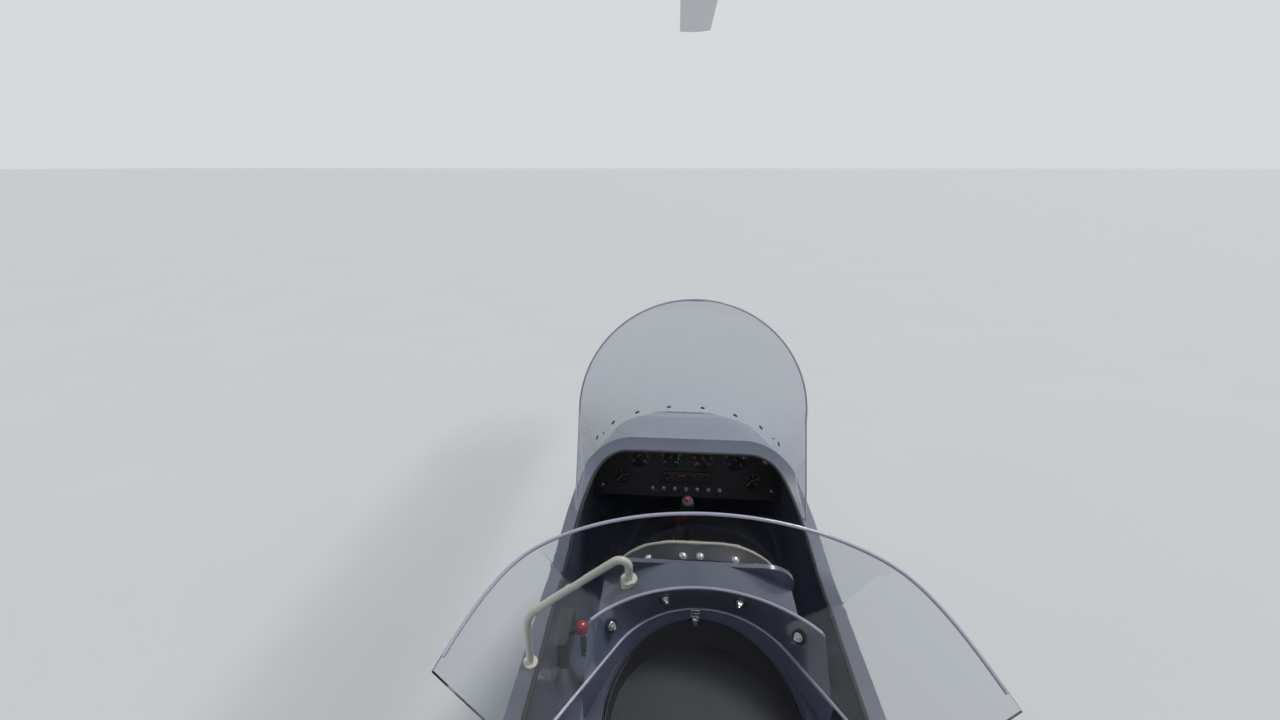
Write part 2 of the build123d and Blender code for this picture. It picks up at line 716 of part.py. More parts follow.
def wheel(name, x, y, inboard):
    """Rim and tyre about an axle along X, with a brake disc on its inboard side where it has one."""
    across = Plane(origin=(x, y, TYRE_RADIUS), x_dir=(1, 0, 0), z_dir=(0, 0, 1))
    axle_line = Axis((x, y, TYRE_RADIUS), (1, 0, 0))
    half = RIM_WIDTH / 2
    lip = BEAD_RADIUS + FLANGE_LIP
    bore = AXLE_RADIUS + PIN_GAP
    # (low and high along the axle, low and high radius)
    bands = [
        (-HUB_LENGTH / 2, HUB_LENGTH / 2, bore, HUB_RADIUS),
        (-WEB_THICKNESS / 2, WEB_THICKNESS / 2, HUB_RADIUS - 1, BEAD_RADIUS - RIM_WALL / 2),
        (-half, half, BEAD_RADIUS - RIM_WALL, BEAD_RADIUS),
        (-half, -half + RIM_WALL, BEAD_RADIUS - RIM_WALL, lip),
        (half - RIM_WALL, half, BEAD_RADIUS - RIM_WALL, lip),
    ]
    if inboard:
        disc = inboard * DISC_OFFSET
        edge = disc + inboard * DISC_THICKNESS / 2
        bands += [
            (disc - DISC_THICKNESS / 2, disc + DISC_THICKNESS / 2, HUB_RADIUS - 2, DISC_RADIUS),
            (min(edge, 0), max(edge, 0), bore, HUB_RADIUS),
        ]
    with BuildPart() as rim:
        with BuildSketch(across):
            for low, high, inner, outer in bands:
                with Locations(((low + high) / 2, (inner + outer) / 2)):
                    Rectangle(high - low, outer - inner)
        revolve(axis=axle_line)
        with BuildSketch(Plane(origin=(x, y, TYRE_RADIUS), x_dir=(0, 1, 0), z_dir=(1, 0, 0))):
            with PolarLocations((HUB_RADIUS + BEAD_RADIUS - RIM_WALL) / 2, 6):
                Circle(15)
        extrude(amount=WEB_THICKNESS, both=True, mode=Mode.SUBTRACT)
    save(rim.part, f"{name}_rim")
    seat = BEAD_RADIUS + SEAT_GAP
    inner = half - RIM_WALL - SEAT_GAP
    shoulder = TYRE_RADIUS - 12
    with BuildPart() as tyre:
        with BuildSketch(across):
            with BuildLine():
                Polyline(
                    (-half - 2, lip + SEAT_GAP), (-inner, lip + SEAT_GAP), (-inner, seat),
                    (inner, seat), (inner, lip + SEAT_GAP), (half + 2, lip + SEAT_GAP),
                )
                ThreePointArc(
                    (half + 2, lip + SEAT_GAP), (TYRE_WIDTH / 2, (lip + shoulder) / 2), (half - 4, shoulder)
                )
                ThreePointArc((half - 4, shoulder), (0, TYRE_RADIUS), (-half + 4, shoulder))
                ThreePointArc(
                    (-half + 4, shoulder), (-TYRE_WIDTH / 2, (lip + shoulder) / 2), (-half - 2, lip + SEAT_GAP)
                )
            make_face()
        revolve(axis=axle_line)
    save(tyre.part, f"{name}_tyre")


wheel("left", -MAIN_WHEEL_X, MAIN_AXLE_Y, 1)
wheel("right", MAIN_WHEEL_X, MAIN_AXLE_Y, -1)
wheel("nose", 0, NOSE_AXLE_Y, 0)

# Main gear: a sprung bow across the top of the beam
with BuildPart() as gear_bow:
    with BuildLine() as bow_line:
        FilletPolyline(
            (-BOW_END, MAIN_AXLE_Y, BOW_END_Z),
            (-BOW_SLOPE_END, MAIN_AXLE_Y, BOW_END_Z),
            (-BOW_SLOPE_START, MAIN_AXLE_Y, BOW_MIDDLE_Z),
            (BOW_SLOPE_START, MAIN_AXLE_Y, BOW_MIDDLE_Z),
            (BOW_SLOPE_END, MAIN_AXLE_Y, BOW_END_Z),
            (BOW_END, MAIN_AXLE_Y, BOW_END_Z),
            radius=BOW_BEND,
        )
    with BuildSketch(Plane(origin=bow_line.line @ 0, x_dir=(0, 1, 0), z_dir=bow_line.line % 0)):
        RectangleRounded(BOW_WIDTH, BOW_THICKNESS, 6)
    sweep()
save(gear_bow.part, "gear_bow")

# Saddle that clamps the bow to the beam: a plate over it, on a strap at each edge of the bow
with BuildPart() as bow_clamp:
    half = BEAM_WIDTH / 2
    strap_high = BOW_MIDDLE_Z + BOW_THICKNESS / 2
    for way in (-1, 1):
        near = MAIN_AXLE_Y + way * (BOW_WIDTH / 2 + SEAT_GAP)
        far = near + way * 16
        block((-half - 8, half + 8), sorted((near, far)), (BEAM_Z - 10, strap_high + 8))
    block((-half - 8, half + 8), (MAIN_AXLE_Y - BOW_WIDTH / 2 - 10, MAIN_AXLE_Y + BOW_WIDTH / 2 + 10),
          (strap_high, strap_high + 8))
    block((-half, half), (MAIN_AXLE_Y - 200, MAIN_AXLE_Y + 200), (0, BEAM_TOP), mode=Mode.SUBTRACT)
save(bow_clamp.part, "bow_clamp")

# Axle blocks under the bow's ends, with stub axles and brake calipers
with BuildPart() as main_axles:
    for side in (-1, 1):
        inner = side * (BOW_END - AXLE_BLOCK[0])
        outer = side * BOW_END
        block(
            sorted((inner, outer)),
            (MAIN_AXLE_Y - AXLE_BLOCK[1] / 2, MAIN_AXLE_Y + AXLE_BLOCK[1] / 2),
            (TYRE_RADIUS - AXLE_BLOCK[2] / 2, TYRE_RADIUS + AXLE_BLOCK[2] / 2),
        )
        wheel_x = side * MAIN_WHEEL_X
        shoulder = wheel_x - side * (DISC_OFFSET + DISC_THICKNESS / 2 + 1)
        tip = wheel_x + side * (HUB_LENGTH / 2 + 14)
        tube((outer, MAIN_AXLE_Y, TYRE_RADIUS), (shoulder, MAIN_AXLE_Y, TYRE_RADIUS), 20)
        tube((outer, MAIN_AXLE_Y, TYRE_RADIUS), (tip, MAIN_AXLE_Y, TYRE_RADIUS), AXLE_RADIUS)
        tube((tip, MAIN_AXLE_Y, TYRE_RADIUS), (tip - side * 13, MAIN_AXLE_Y, TYRE_RADIUS), 20)
        disc_x = side * (MAIN_WHEEL_X - DISC_OFFSET)
        block(
            (disc_x - 20, disc_x + 20),
            (MAIN_AXLE_Y - DISC_RADIUS - 12, MAIN_AXLE_Y - 50),
            (TYRE_RADIUS - 20, TYRE_RADIUS + 20),
        )
        block(
            (disc_x - CALIPER_SLOT / 2, disc_x + CALIPER_SLOT / 2),
            (MAIN_AXLE_Y - DISC_RADIUS - 6, MAIN_AXLE_Y - 45),
            (TYRE_RADIUS - 25, TYRE_RADIUS + 25),
            mode=Mode.SUBTRACT,
        )
        block(
            sorted((outer - side * 12, disc_x - side * 12)),
            (MAIN_AXLE_Y - DISC_RADIUS - 6, MAIN_AXLE_Y - 36),
            (TYRE_RADIUS - 14, TYRE_RADIUS + 14),
        )
save(main_axles.part, "main_axles")

# Mudguards over the rear of the main wheels, each on a foot and a stay
with BuildPart() as mudguards:
    start, end = GUARD_ARC
    for side in (-1, 1):
        with BuildSketch(Plane.YZ.offset(side * MAIN_WHEEL_X)) as band:
            with BuildLine():
                centre = (MAIN_AXLE_Y, TYRE_RADIUS)
                low_arc = CenterArc(centre, GUARD_RADIUS, 180 - end, end - start)
                high_arc = CenterArc(centre, GUARD_RADIUS + GUARD_WALL, 180 - end, end - start)
                Line(low_arc @ 0, high_arc @ 0)
                Line(low_arc @ 1, high_arc @ 1)
            make_face()
        extrude(band.sketch, amount=GUARD_WIDTH / 2, both=True)
        bow_top = BOW_END_Z + BOW_THICKNESS / 2
        guard_top = TYRE_RADIUS + GUARD_RADIUS + GUARD_WALL / 2
        foot_x = side * (BOW_END - 25)
        block((foot_x - 20, foot_x + 20), (MAIN_AXLE_Y - 30, MAIN_AXLE_Y + 30), (bow_top, bow_top + 4))
        edge_x = side * (MAIN_WHEEL_X - GUARD_WIDTH / 2 + 6)
        tube((foot_x, MAIN_AXLE_Y, bow_top + 4), (edge_x, MAIN_AXLE_Y, guard_top), 8)
save(mudguards.part, "mudguards")

# Nose leg: a steerer, a crown and two raked legs to the axle
with BuildPart() as nose_fork:
    crown_low = CROWN_TOP - CROWN_THICKNESS
    tube((0, STEER_Y, CROWN_TOP), (0, STEER_Y, head_low - 0.2), HEAD_TUBE_RADIUS)
    tube((0, STEER_Y, crown_low + 1), (0, STEER_Y, head_high + 16), STEER_RADIUS)
    tube((0, STEER_Y, head_high + 0.2), (0, STEER_Y, head_high + 14), HEAD_TUBE_RADIUS)
    outer_x = FORK_LEG_X + FORK_LEG_THICKNESS / 2
    block((-outer_x, outer_x), (STEER_Y - 26, STEER_Y + 26), (crown_low, CROWN_TOP))
    with BuildSketch(Plane.YZ) as leg:
        with BuildLine():
            Polyline(
                (STEER_Y - 26, CROWN_TOP), (STEER_Y + 26, CROWN_TOP), (STEER_Y + 26, crown_low),
                (NOSE_AXLE_Y + 18, TYRE_RADIUS), (NOSE_AXLE_Y - 18, TYRE_RADIUS), (STEER_Y - 26, crown_low),
                close=True,
            )
        make_face()
        with Locations((NOSE_AXLE_Y, TYRE_RADIUS)):
            Circle(24)
    for side in (-1, 1):
        centre_x = side * FORK_LEG_X
        extrude(
            leg.sketch.moved(Location((centre_x - FORK_LEG_THICKNESS / 2, 0, 0))), amount=FORK_LEG_THICKNESS
        )
        # Spacer between the leg and the hub, and the towing pin outside the leg
        hub_face = side * (HUB_LENGTH / 2 + 0.5)
        tube((hub_face, NOSE_AXLE_Y, TYRE_RADIUS), (centre_x, NOSE_AXLE_Y, TYRE_RADIUS), 20)
        tube(
            (centre_x, NOSE_AXLE_Y, TYRE_RADIUS),
            (side * (outer_x + TOW_PIN_LENGTH), NOSE_AXLE_Y, TYRE_RADIUS),
            TOW_PIN_RADIUS,
        )
    tube((-FORK_LEG_X, NOSE_AXLE_Y, TYRE_RADIUS), (FORK_LEG_X, NOSE_AXLE_Y, TYRE_RADIUS), AXLE_RADIUS)
save(nose_fork.part, "nose_fork")

# Mast: a rectangular tube with gussets at its foot and two cheeks at its head
CHEEK_INNER = GIMBAL_DEPTH / 2 + SEAT_GAP
CHEEK_OUTER = MAST_DEPTH / 2
with BuildPart() as mast:
    with BuildSketch(Plane(origin=(0, MAST_Y, BEAM_TOP))):
        RectangleRounded(MAST_WIDTH, MAST_DEPTH, 8)
        RectangleRounded(MAST_WIDTH - 2 * MAST_WALL, MAST_DEPTH - 2 * MAST_WALL, 4, mode=Mode.SUBTRACT)
    extrude(amount=MAST_TOP - BEAM_TOP)
    for side in (-1, 1):
        with BuildSketch(Plane.YZ.offset(side * MAST_WIDTH / 2)) as gusset:
            with BuildLine():
                Polyline(
                    (MAST_FRONT - 1, 470), (MAST_REAR + 1, 470), (MAST_REAR - 60, BEAM_TOP),
                    (MAST_REAR - 60, BEAM_Z - 20), (MAST_FRONT - 1, BEAM_Z - 20), close=True,
                )
            make_face()
        extrude(gusset.sketch, amount=side * 6)
        near = MAST_Y + side * CHEEK_INNER
        far = MAST_Y + side * CHEEK_OUTER
        block((-20, 20), sorted((near, far)), (MAST_TOP - 40, ROLL_Z))
        tube((0, near, ROLL_Z), (0, far, ROLL_Z), 20)
        tube((0, far, ROLL_Z), (0, far + side * 6, ROLL_Z), 14)
    tube((0, MAST_Y - CHEEK_OUTER, ROLL_Z), (0, MAST_Y + CHEEK_OUTER, ROLL_Z), HEAD_BOLT_RADIUS)
    # Bracket that steadies the tub
    block((-MAST_WIDTH / 2, MAST_WIDTH / 2), (MAST_FRONT - MAST_WALL, TUB_REAR), TUB_BRACKET)
save(mast.part, "mast")

# Gimbal block: rolls about a fore-and-aft bolt, and carries a cross bolt for pitch
with BuildPart() as gimbal_block:
    block(
        (-GIMBAL_WIDTH / 2, GIMBAL_WIDTH / 2),
        (MAST_Y - GIMBAL_DEPTH / 2, MAST_Y + GIMBAL_DEPTH / 2),
        (ROLL_Z - 20, PITCH_Z + 20),
    )
    chamfer(gimbal_block.edges().filter_by(Axis.Z), 4)
    tube((0, MAST_Y - 50, ROLL_Z), (0, MAST_Y + 50, ROLL_Z), HEAD_BOLT_RADIUS + PIN_GAP, mode=Mode.SUBTRACT)
    tube((-50, MAST_Y, PITCH_Z), (50, MAST_Y, PITCH_Z), HEAD_BOLT_RADIUS + PIN_GAP, mode=Mode.SUBTRACT)
save(gimbal_block.part, "gimbal_block")

# Head bridge: two cheeks on the pitch bolt, the bearing housing and the control arm
with BuildPart() as head_bridge:
    bridge_outer = BRIDGE_INNER + BRIDGE_PLATE
    for side in (-1, 1):
        with BuildSketch(Plane.YZ.offset(side * BRIDGE_INNER)) as cheek:
            with BuildLine():
                Polyline(
                    (MAST_Y + 44, BRIDGE_TOP - 2), (MAST_Y + 44, PITCH_Z + 12), (MAST_Y + 16, PITCH_Z - 18),
                    (ARM_Y - 20, PITCH_Z - 18), (ARM_Y - 30, PITCH_Z + 12), (ARM_Y - 30, BRIDGE_TOP - 2),
                    close=True,
                )
            make_face()
        extrude(cheek.sketch, amount=side * BRIDGE_PLATE)
        tube((side * (GIMBAL_WIDTH / 2 + SEAT_GAP), MAST_Y, PITCH_Z), (side * BRIDGE_INNER, MAST_Y, PITCH_Z), 13)
        tube((side * bridge_outer, MAST_Y, PITCH_Z), (side * (bridge_outer + 6), MAST_Y, PITCH_Z), 13)
    tube((-bridge_outer, MAST_Y, PITCH_Z), (bridge_outer, MAST_Y, PITCH_Z), HEAD_BOLT_RADIUS)
    block((-bridge_outer, bridge_outer), (ARM_Y - 84, MAST_Y + 44), (BRIDGE_TOP - 12, BRIDGE_TOP))
    tube((0, 0, BRIDGE_TOP - 1), (0, 0, HOUSING_TOP), HOUSING_RADIUS)
    tube((0, 0, BRIDGE_TOP + 4), (0, 0, HOUSING_TOP + 1), SHAFT_RADIUS + PIN_GAP, mode=Mode.SUBTRACT)
    tube((-ARM_HALF_SPAN, ARM_Y, PITCH_Z), (ARM_HALF_SPAN, ARM_Y, PITCH_Z), ARM_RADIUS)
    pinion_y = -(RING_GEAR_RADIUS + PINION_RADIUS + 1)
    tube((0, pinion_y, BRIDGE_TOP - 20), (0, pinion_y, BRIDGE_TOP + 1), 10, mode=Mode.SUBTRACT)
save(head_bridge.part, "head_bridge")

# Spin-up motor under the bridge's tail, with its pinion beside the ring gear
with BuildPart() as prerotator:
    tube((0, pinion_y, BRIDGE_TOP - 102), (0, pinion_y, BRIDGE_TOP - 12), 30)
    fillet(prerotator.edges().filter_by(GeomType.CIRCLE).sort_by(Axis.Z)[0], 6)
    tube((0, pinion_y, BRIDGE_TOP - 14), (0, pinion_y, RING_GEAR_Z + RING_GEAR_THICKNESS), 6)
    tube((0, pinion_y, RING_GEAR_Z - 2), (0, pinion_y, RING_GEAR_Z + RING_GEAR_THICKNESS + 2), PINION_RADIUS)
save(prerotator.part, "prerotator")

# Cyclic control: a torque tube behind the mast with two push-rods up to the arm
with BuildPart() as control_linkage:
    tube((-ROD_X, ARM_Y, ROD_FOOT_Z), (ROD_X, ARM_Y, ROD_FOOT_Z), 14)
    block((-20, 20), (ARM_Y, MAST_REAR), (ROD_FOOT_Z - 25, ROD_FOOT_Z + 25))
    for side in (-1, 1):
        x = side * ROD_X
        tube((x, ARM_Y, ROD_FOOT_Z), (x, ARM_Y, PITCH_Z - 10), ROD_RADIUS)
        tube((x - 5, ARM_Y, ROD_FOOT_Z), (x + 5, ARM_Y, ROD_FOOT_Z), 20)
        tube((x - 5, ARM_Y, PITCH_Z), (x + 5, ARM_Y, PITCH_Z), 15)
        tube((x - 6, ARM_Y, PITCH_Z), (x + 6, ARM_Y, PITCH_Z), 6, mode=Mode.SUBTRACT)
save(control_linkage.part, "control_linkage")

# Rotor tower: shaft, toothed ring gear and the cheeks that hold the see-saw bolt
gear_top = RING_GEAR_Z + RING_GEAR_THICKNESS
with BuildPart() as rotor_tower:
    with BuildSketch(Plane.XY.offset(RING_GEAR_Z)) as ring_gear:
        Circle(RING_GEAR_RADIUS - TOOTH_HEIGHT)
        with PolarLocations(RING_GEAR_RADIUS - TOOTH_HEIGHT / 2 - 0.5, RING_GEAR_TEETH):
            Rectangle(TOOTH_HEIGHT + 1, pi * RING_GEAR_RADIUS / RING_GEAR_TEETH)
        with PolarLocations(RING_GEAR_RADIUS - 32, 6):
            Circle(13, mode=Mode.SUBTRACT)
    extrude(amount=RING_GEAR_THICKNESS)
    tube((0, 0, BRIDGE_TOP + 6), (0, 0, RING_GEAR_Z + 1), SHAFT_RADIUS)
    tube((0, 0, HOUSING_TOP + 4), (0, 0, RING_GEAR_Z + 1), HOUSING_RADIUS - 4)
    block((-TOWER_INNER - TOWER_PLATE, TOWER_INNER + TOWER_PLATE), (-24, 24), (gear_top - 1, gear_top + 5))
    for side in (-1, 1):
        near, far = side * TOWER_INNER, side * (TOWER_INNER + TOWER_PLATE)
        block(sorted((near, far)), (-24, 24), (gear_top, TEETER_Z))
        tube((near, 0, TEETER_Z), (far, 0, TEETER_Z), 24)
        tube((far, 0, TEETER_Z), (far + side * 8, 0, TEETER_Z), 14)
    tube((-TOWER_INNER, 0, TEETER_Z), (TOWER_INNER, 0, TEETER_Z), HEAD_BOLT_RADIUS)
save(rotor_tower.part, "rotor_tower")


def blade_section(out):
    """Blade outline across X, nose at -X, with its face moved outwards by out."""
    with BuildSketch(Plane(origin=(0, BLADE_ROOT, BLADE_Z), x_dir=(1, 0, 0), z_dir=(0, 1, 0))) as outline:
        with BuildLine():
            # z_dir along +Y turns the sketch's y downwards
            nose = -BLADE_LEADING
            tail = BLADE_CHORD - BLADE_LEADING
            top = ThreePointArc((nose + 8, -8), (nose + 0.35 * BLADE_CHORD, -13.5), (tail, -1))
            bottom = ThreePointArc((nose + 8, 6), (nose + 0.4 * BLADE_CHORD, 9.5), (tail, 1))
            ThreePointArc(top @ 0, (nose, -1), bottom @ 0)
            Line(top @ 1, bottom @ 1)
        make_face()
        if out:
            offset(amount=out)
    return outline.sketch


# Rotor blades: the aft one is the forward one turned half round
with BuildPart() as front_blade:
    extrude(blade_section(0), amount=ROTOR_RADIUS - BLADE_ROOT)
with BuildPart() as grip_pocket:
    extrude(blade_section(SEAT_GAP), amount=GRIP_END - BLADE_ROOT + 10)
with BuildPart() as rear_blade:
    with Locations(Location((0, 0, 0), (0, 0, 180))):
        add(front_blade.part)
save(front_blade.part, "front_blade")
save(rear_blade.part, "rear_blade")

# Hub bar: see-saw block, flat bar and the clamped grips at its ends
with BuildPart() as hub_bar:
    bar_low = BLADE_Z - HUB_BAR_THICKNESS / 2
    bar_high = BLADE_Z + HUB_BAR_THICKNESS / 2
    with BuildSketch(Plane.XY.offset(bar_low)):
        with BuildLine():
            (wide_y, wide), (waist_y, waist) = HUB_WAIST
            grip_left, grip_right = GRIP_SIDES
            Polyline(
                (-wide, 0), (-wide, wide_y), (-waist, waist_y), (-waist, GRIP_START - 40),
                (grip_left, GRIP_START), (grip_left, GRIP_END), (grip_right, GRIP_END), (grip_right, GRIP_START),
                (waist, GRIP_START - 40), (waist, waist_y), (wide, wide_y), (wide, 0), close=True,
            )
        make_face()
    extrude(amount=HUB_BAR_THICKNESS)
    block(GRIP_SIDES, (GRIP_START, GRIP_END), (bar_low - 5, bar_high + 5))
    add(grip_pocket.part, mode=Mode.SUBTRACT)
    with Locations(Location((0, 0, 0), (0, 0, 180))):
        add(hub_bar.part)
    block((-36, 36), (-25, 25), (bar_low, TEETER_Z))
    tube((-36, 0, TEETER_Z), (36, 0, TEETER_Z), 25)
    for side in (-1, 1):
        tube((side * 36, 0, TEETER_Z), (side * (TOWER_INNER - SEAT_GAP), 0, TEETER_Z), 13)
    tube((-60, 0, TEETER_Z), (60, 0, TEETER_Z), HEAD_BOLT_RADIUS + PIN_GAP, mode=Mode.SUBTRACT)
save(hub_bar.part, "hub_bar")

# Engine: crankcase with its mounting feet, front cover and reduction gearbox
with BuildPart() as engine_case:
    case_middle = (CASE_LOW + CASE_HIGH) / 2
    with BuildSketch(facing_aft(CASE_FRONT)):
        with Locations((0, case_middle)):
            RectangleRounded(2 * CASE_HALF_WIDTH, CASE_HIGH - CASE_LOW, 34)
    extrude(amount=CASE_FRONT - CASE_REAR)
    tube((0, CASE_FRONT + 68, CRANK_Z), (0, CASE_FRONT, CRANK_Z), 86)
    fillet(engine_case.faces().sort_by(Axis.Y)[-1].edges(), 12)
    tube((0, CASE_FRONT + 82, CRANK_Z), (0, CASE_FRONT, CRANK_Z), 26)
    with BuildSketch(facing_aft(CASE_REAR)) as gear_case:
        with Locations((0, CRANK_Z)):
            Circle(90)
        with Locations((0, PROP_Z)):
            Circle(66)
        make_hull(gear_case.edges())
    extrude(amount=CASE_REAR - GEARBOX_REAR)
    fillet(engine_case.faces().sort_by(Axis.Y)[0].edges(), 12)
    for row in MOUNT_ROWS:
        block((-BEARER_X - 25, BEARER_X + 25), (row - 20, row + 20), (CASE_LOW, CASE_LOW + 12))
    # Oil filter and starter
    tube((38, CASE_REAR + 140, CASE_HIGH - 4), (38, CASE_REAR + 140, CASE_HIGH + 66), 34)
    tube((-52, CASE_REAR + 10, CASE_HIGH - 8), (-52, CASE_REAR + 150, CASE_HIGH - 8), 32)
save(engine_case.part, "engine_case")

# Cylinders: finned barrels and rocker covers, two a side
with BuildPart() as cylinders:
    for side, y in CYLINDERS:
        tube((side * CASE_HALF_WIDTH, y, CRANK_Z), (side * HEAD_INNER, y, CRANK_Z), BARREL_RADIUS)
        for i in range(FIN_COUNT):
            near = CASE_HALF_WIDTH + 6 + i * FIN_PITCH
            tube((side * near, y, CRANK_Z), (side * (near + FIN_THICKNESS), y, CRANK_Z), FIN_RADIUS)
        with BuildSketch(Plane.YZ.offset(side * HEAD_INNER)) as head:
            with Locations((y, CRANK_Z)):
                RectangleRounded(HEAD_LENGTH, HEAD_HEIGHT, 16)
        extrude(head.sketch, amount=side * (HEAD_OUTER - HEAD_INNER - COVER_DEPTH))
        with BuildSketch(Plane.YZ.offset(side * (HEAD_OUTER - COVER_DEPTH))) as cover:
            with Locations((y, CRANK_Z)):
                RectangleRounded(HEAD_LENGTH - 14, HEAD_HEIGHT - 14, 22)
        extrude(cover.sketch, amount=side * COVER_DEPTH, taper=COVER_TAPER)
save(cylinders.part, "cylinders")

# Intake: a balance pipe over each bank, a carburettor and a cone filter behind it
head_top = CRANK_Z + HEAD_HEIGHT / 2
intake_x = (HEAD_INNER + HEAD_OUTER - COVER_DEPTH) / 2
runner_z = head_top + 80
with BuildPart() as intakes:
    for side in (-1, 1):
        first, last = [y for s, y in CYLINDERS if s == side]
        x = side * intake_x
        for y in (first, last):
            tube((x, y, head_top), (x, y, head_top + 8), 27)
            tube((x, y, head_top), (x, y, runner_z), 16)
        tube((x, first + 16, runner_z), (x, last - 24, runner_z), 19)
        tube((x, last - 20, runner_z), (x, last - 84, runner_z), 29)
        block((x - 24, x + 24), (last - 70, last - 34), (runner_z - 44, runner_z))
        # (y, radius) of the filter's ends
        for end_y, radius in ((last - 84, 48), (last - 170, 36)):
            with BuildSketch(facing_aft(end_y)):
                with Locations((x, runner_z)):
                    Circle(radius)
        loft()
save(intakes.part, "intakes")

# Exhaust: a header from each head to a cross silencer, with a tail pipe
with BuildPart() as exhaust:
    with BuildSketch(Plane(origin=(-MUFFLER_HALF_LENGTH, MUFFLER_Y, MUFFLER_Z), z_dir=(1, 0, 0))):
        Circle(MUFFLER_RADIUS)
    extrude(amount=2 * MUFFLER_HALF_LENGTH)
    fillet(exhaust.edges().filter_by(GeomType.CIRCLE), 26)
    for side, y in CYLINDERS:
        head_low = CRANK_Z - HEAD_HEIGHT / 2
        x = side * intake_x
        tube((x, y, head_low), (x, y, head_low - 8), 28)
        bent_tube(
            [(x, y, head_low), (x, y, head_low - 130), (x - side * 30, MUFFLER_Y + (y + 346) * 0.4, MUFFLER_Z + 20)],
            PIPE_RADIUS,
            [80],
        )
    bent_tube(
        [(150, MUFFLER_Y, MUFFLER_Z - 20), (150, MUFFLER_Y, MUFFLER_Z - 130), (150, MUFFLER_Y - 110, MUFFLER_Z - 200)],
        24,
        [60],
        21,
    )
save(exhaust.part, "exhaust")

# Engine mount: two bearers from the mast, braces below and struts down to the beam
with BuildPart() as engine_mount:
    bearer_rear = CASE_REAR - 10
    strut_foot = CASE_REAR - 90
    block((-56, 56), (MAST_REAR - 8, MAST_REAR), (BEARER_Z - 30, BEARER_Z + 30))
    block((-30, 30), (MAST_REAR - 8, MAST_REAR), (ROD_FOOT_Z + 50, ROD_FOOT_Z + 110))
    block((-30, 30), (strut_foot - 40, strut_foot + 40), (BEAM_TOP, BEAM_TOP + 8))
    for side in (-1, 1):
        x = side * BEARER_X
        bent_tube(
            [
                (side * 40, MAST_REAR - 4, BEARER_Z),
                (x, MAST_REAR - 130, BEARER_Z),
                (x, bearer_rear, BEARER_Z),
            ],
            FRAME_TUBE_RADIUS,
            [90],
        )
        tube((side * 16, MAST_REAR - 6, ROD_FOOT_Z + 80), (x, MOUNT_ROWS[0] - 60, BEARER_Z), 12)
        tube((x, bearer_rear + 20, BEARER_Z), (side * 18, strut_foot, BEAM_TOP + 4), 12)
        for row in MOUNT_ROWS:
            block((x - 24, x + 24), (row - 24, row + 24), (BEARER_Z + 4, BEARER_Z + FRAME_TUBE_RADIUS + 3))
    block((-200, 200), (strut_foot - 100, strut_foot + 100), (0, BEAM_TOP), mode=Mode.SUBTRACT)
    block((-200, 200), (MAST_REAR, MAST_REAR + 30), (600, 1200), mode=Mode.SUBTRACT)
save(engine_mount.part, "engine_mount")

with BuildPart() as engine_rubbers:
    for side in (-1, 1):
        for row in MOUNT_ROWS:
            x = side * BEARER_X
            tube((x, row, BEARER_Z + FRAME_TUBE_RADIUS + 3), (x, row, CASE_LOW), RUBBER_RADIUS)
save(engine_rubbers.part, "engine_rubbers")

# Radiator behind the mast, with its pipes to the engine
with BuildPart() as radiator:
    half_width, low, high, near, far = RADIATOR
    block((-half_width, half_width), (far, near), (low, high))
    for side in (-1, 1):
        block(
            sorted((side * half_width, side * (half_width + 16))), (far + 4, near - 4), (low + 6, high - 6)
        )
    for z in (low + 40, high - 60):
        block((-24, 24), (near - 2, MAST_REAR), (z, z + 20))
    tube((0, (near + far) / 2, high - 4), (0, (near + far) / 2, high + 18), 20)
    for side in (-1, 1):
        bent_tube(
            [
                (side * 90, far + 20, low + 4),
                (side * 90, far + 20, low - 110),
                (side * 42, CASE_FRONT - 70, CASE_HIGH + 60),
                (side * 42, CASE_FRONT - 70, CASE_HIGH),
            ],
            14,
            [45, 30],
        )
save(radiator.part, "radiator")

# Oil tank strapped beside the mast
with BuildPart() as oil_tank:
    x, y, low, high, radius = OIL_TANK
    tube((x, y, low), (x, y, high), radius)
    fillet(oil_tank.edges().filter_by(GeomType.CIRCLE), 14)
    tube((x, y, high - 1), (x, y, high + 20), 22)
    for z in (low + 40, high - 60):
        block((x, -MAST_WIDTH / 2), (y + 40, y + 62), (z, z + 16))
        tube((x, y, z), (x, y, z + 16), radius + 2)
save(oil_tank.part, "oil_tank")

# Propeller with its flanged shaft, hub and spinner
with BuildPart() as prop_blade:
    for reach, chord, thickness, angle in PROP_SECTIONS:
        turned = Plane(
            origin=(0, 0, reach),
            x_dir=(cos(radians(angle)), sin(radians(angle)), 0),
            z_dir=(0, 0, 1),
        )
        add(lens(chord, thickness, turned))
    loft()
with BuildPart() as propeller:
    tube((0, GEARBOX_REAR - SEAT_GAP, PROP_Z), (0, PROP_Y + 40, PROP_Z), 26)
    tube((0, GEARBOX_REAR - 18, PROP_Z), (0, GEARBOX_REAR - 32, PROP_Z), 50)
    tube((0, PROP_Y + 42, PROP_Z), (0, PROP_Y - 42, PROP_Z), PROP_HUB_RADIUS)
    with BuildSketch(Plane.YZ) as spinner:
        with BuildLine():
            rear = PROP_Y - 41
            Line((rear, PROP_Z), (rear, PROP_Z + 52))
            ThreePointArc((rear, PROP_Z + 52), (rear - 42, PROP_Z + 36), (rear - 62, PROP_Z + 10))
            Polyline((rear - 62, PROP_Z + 10), (rear - 62, PROP_Z), (rear, PROP_Z))
        make_face()
    revolve(axis=Axis((0, 0, PROP_Z), (0, 1, 0)))
    for i in range(PROP_BLADES):
        with Locations(Location((0, PROP_Y, PROP_Z), (0, i * 360 / PROP_BLADES, 0))):
            add(prop_blade.part)
save(propeller.part, "propeller")

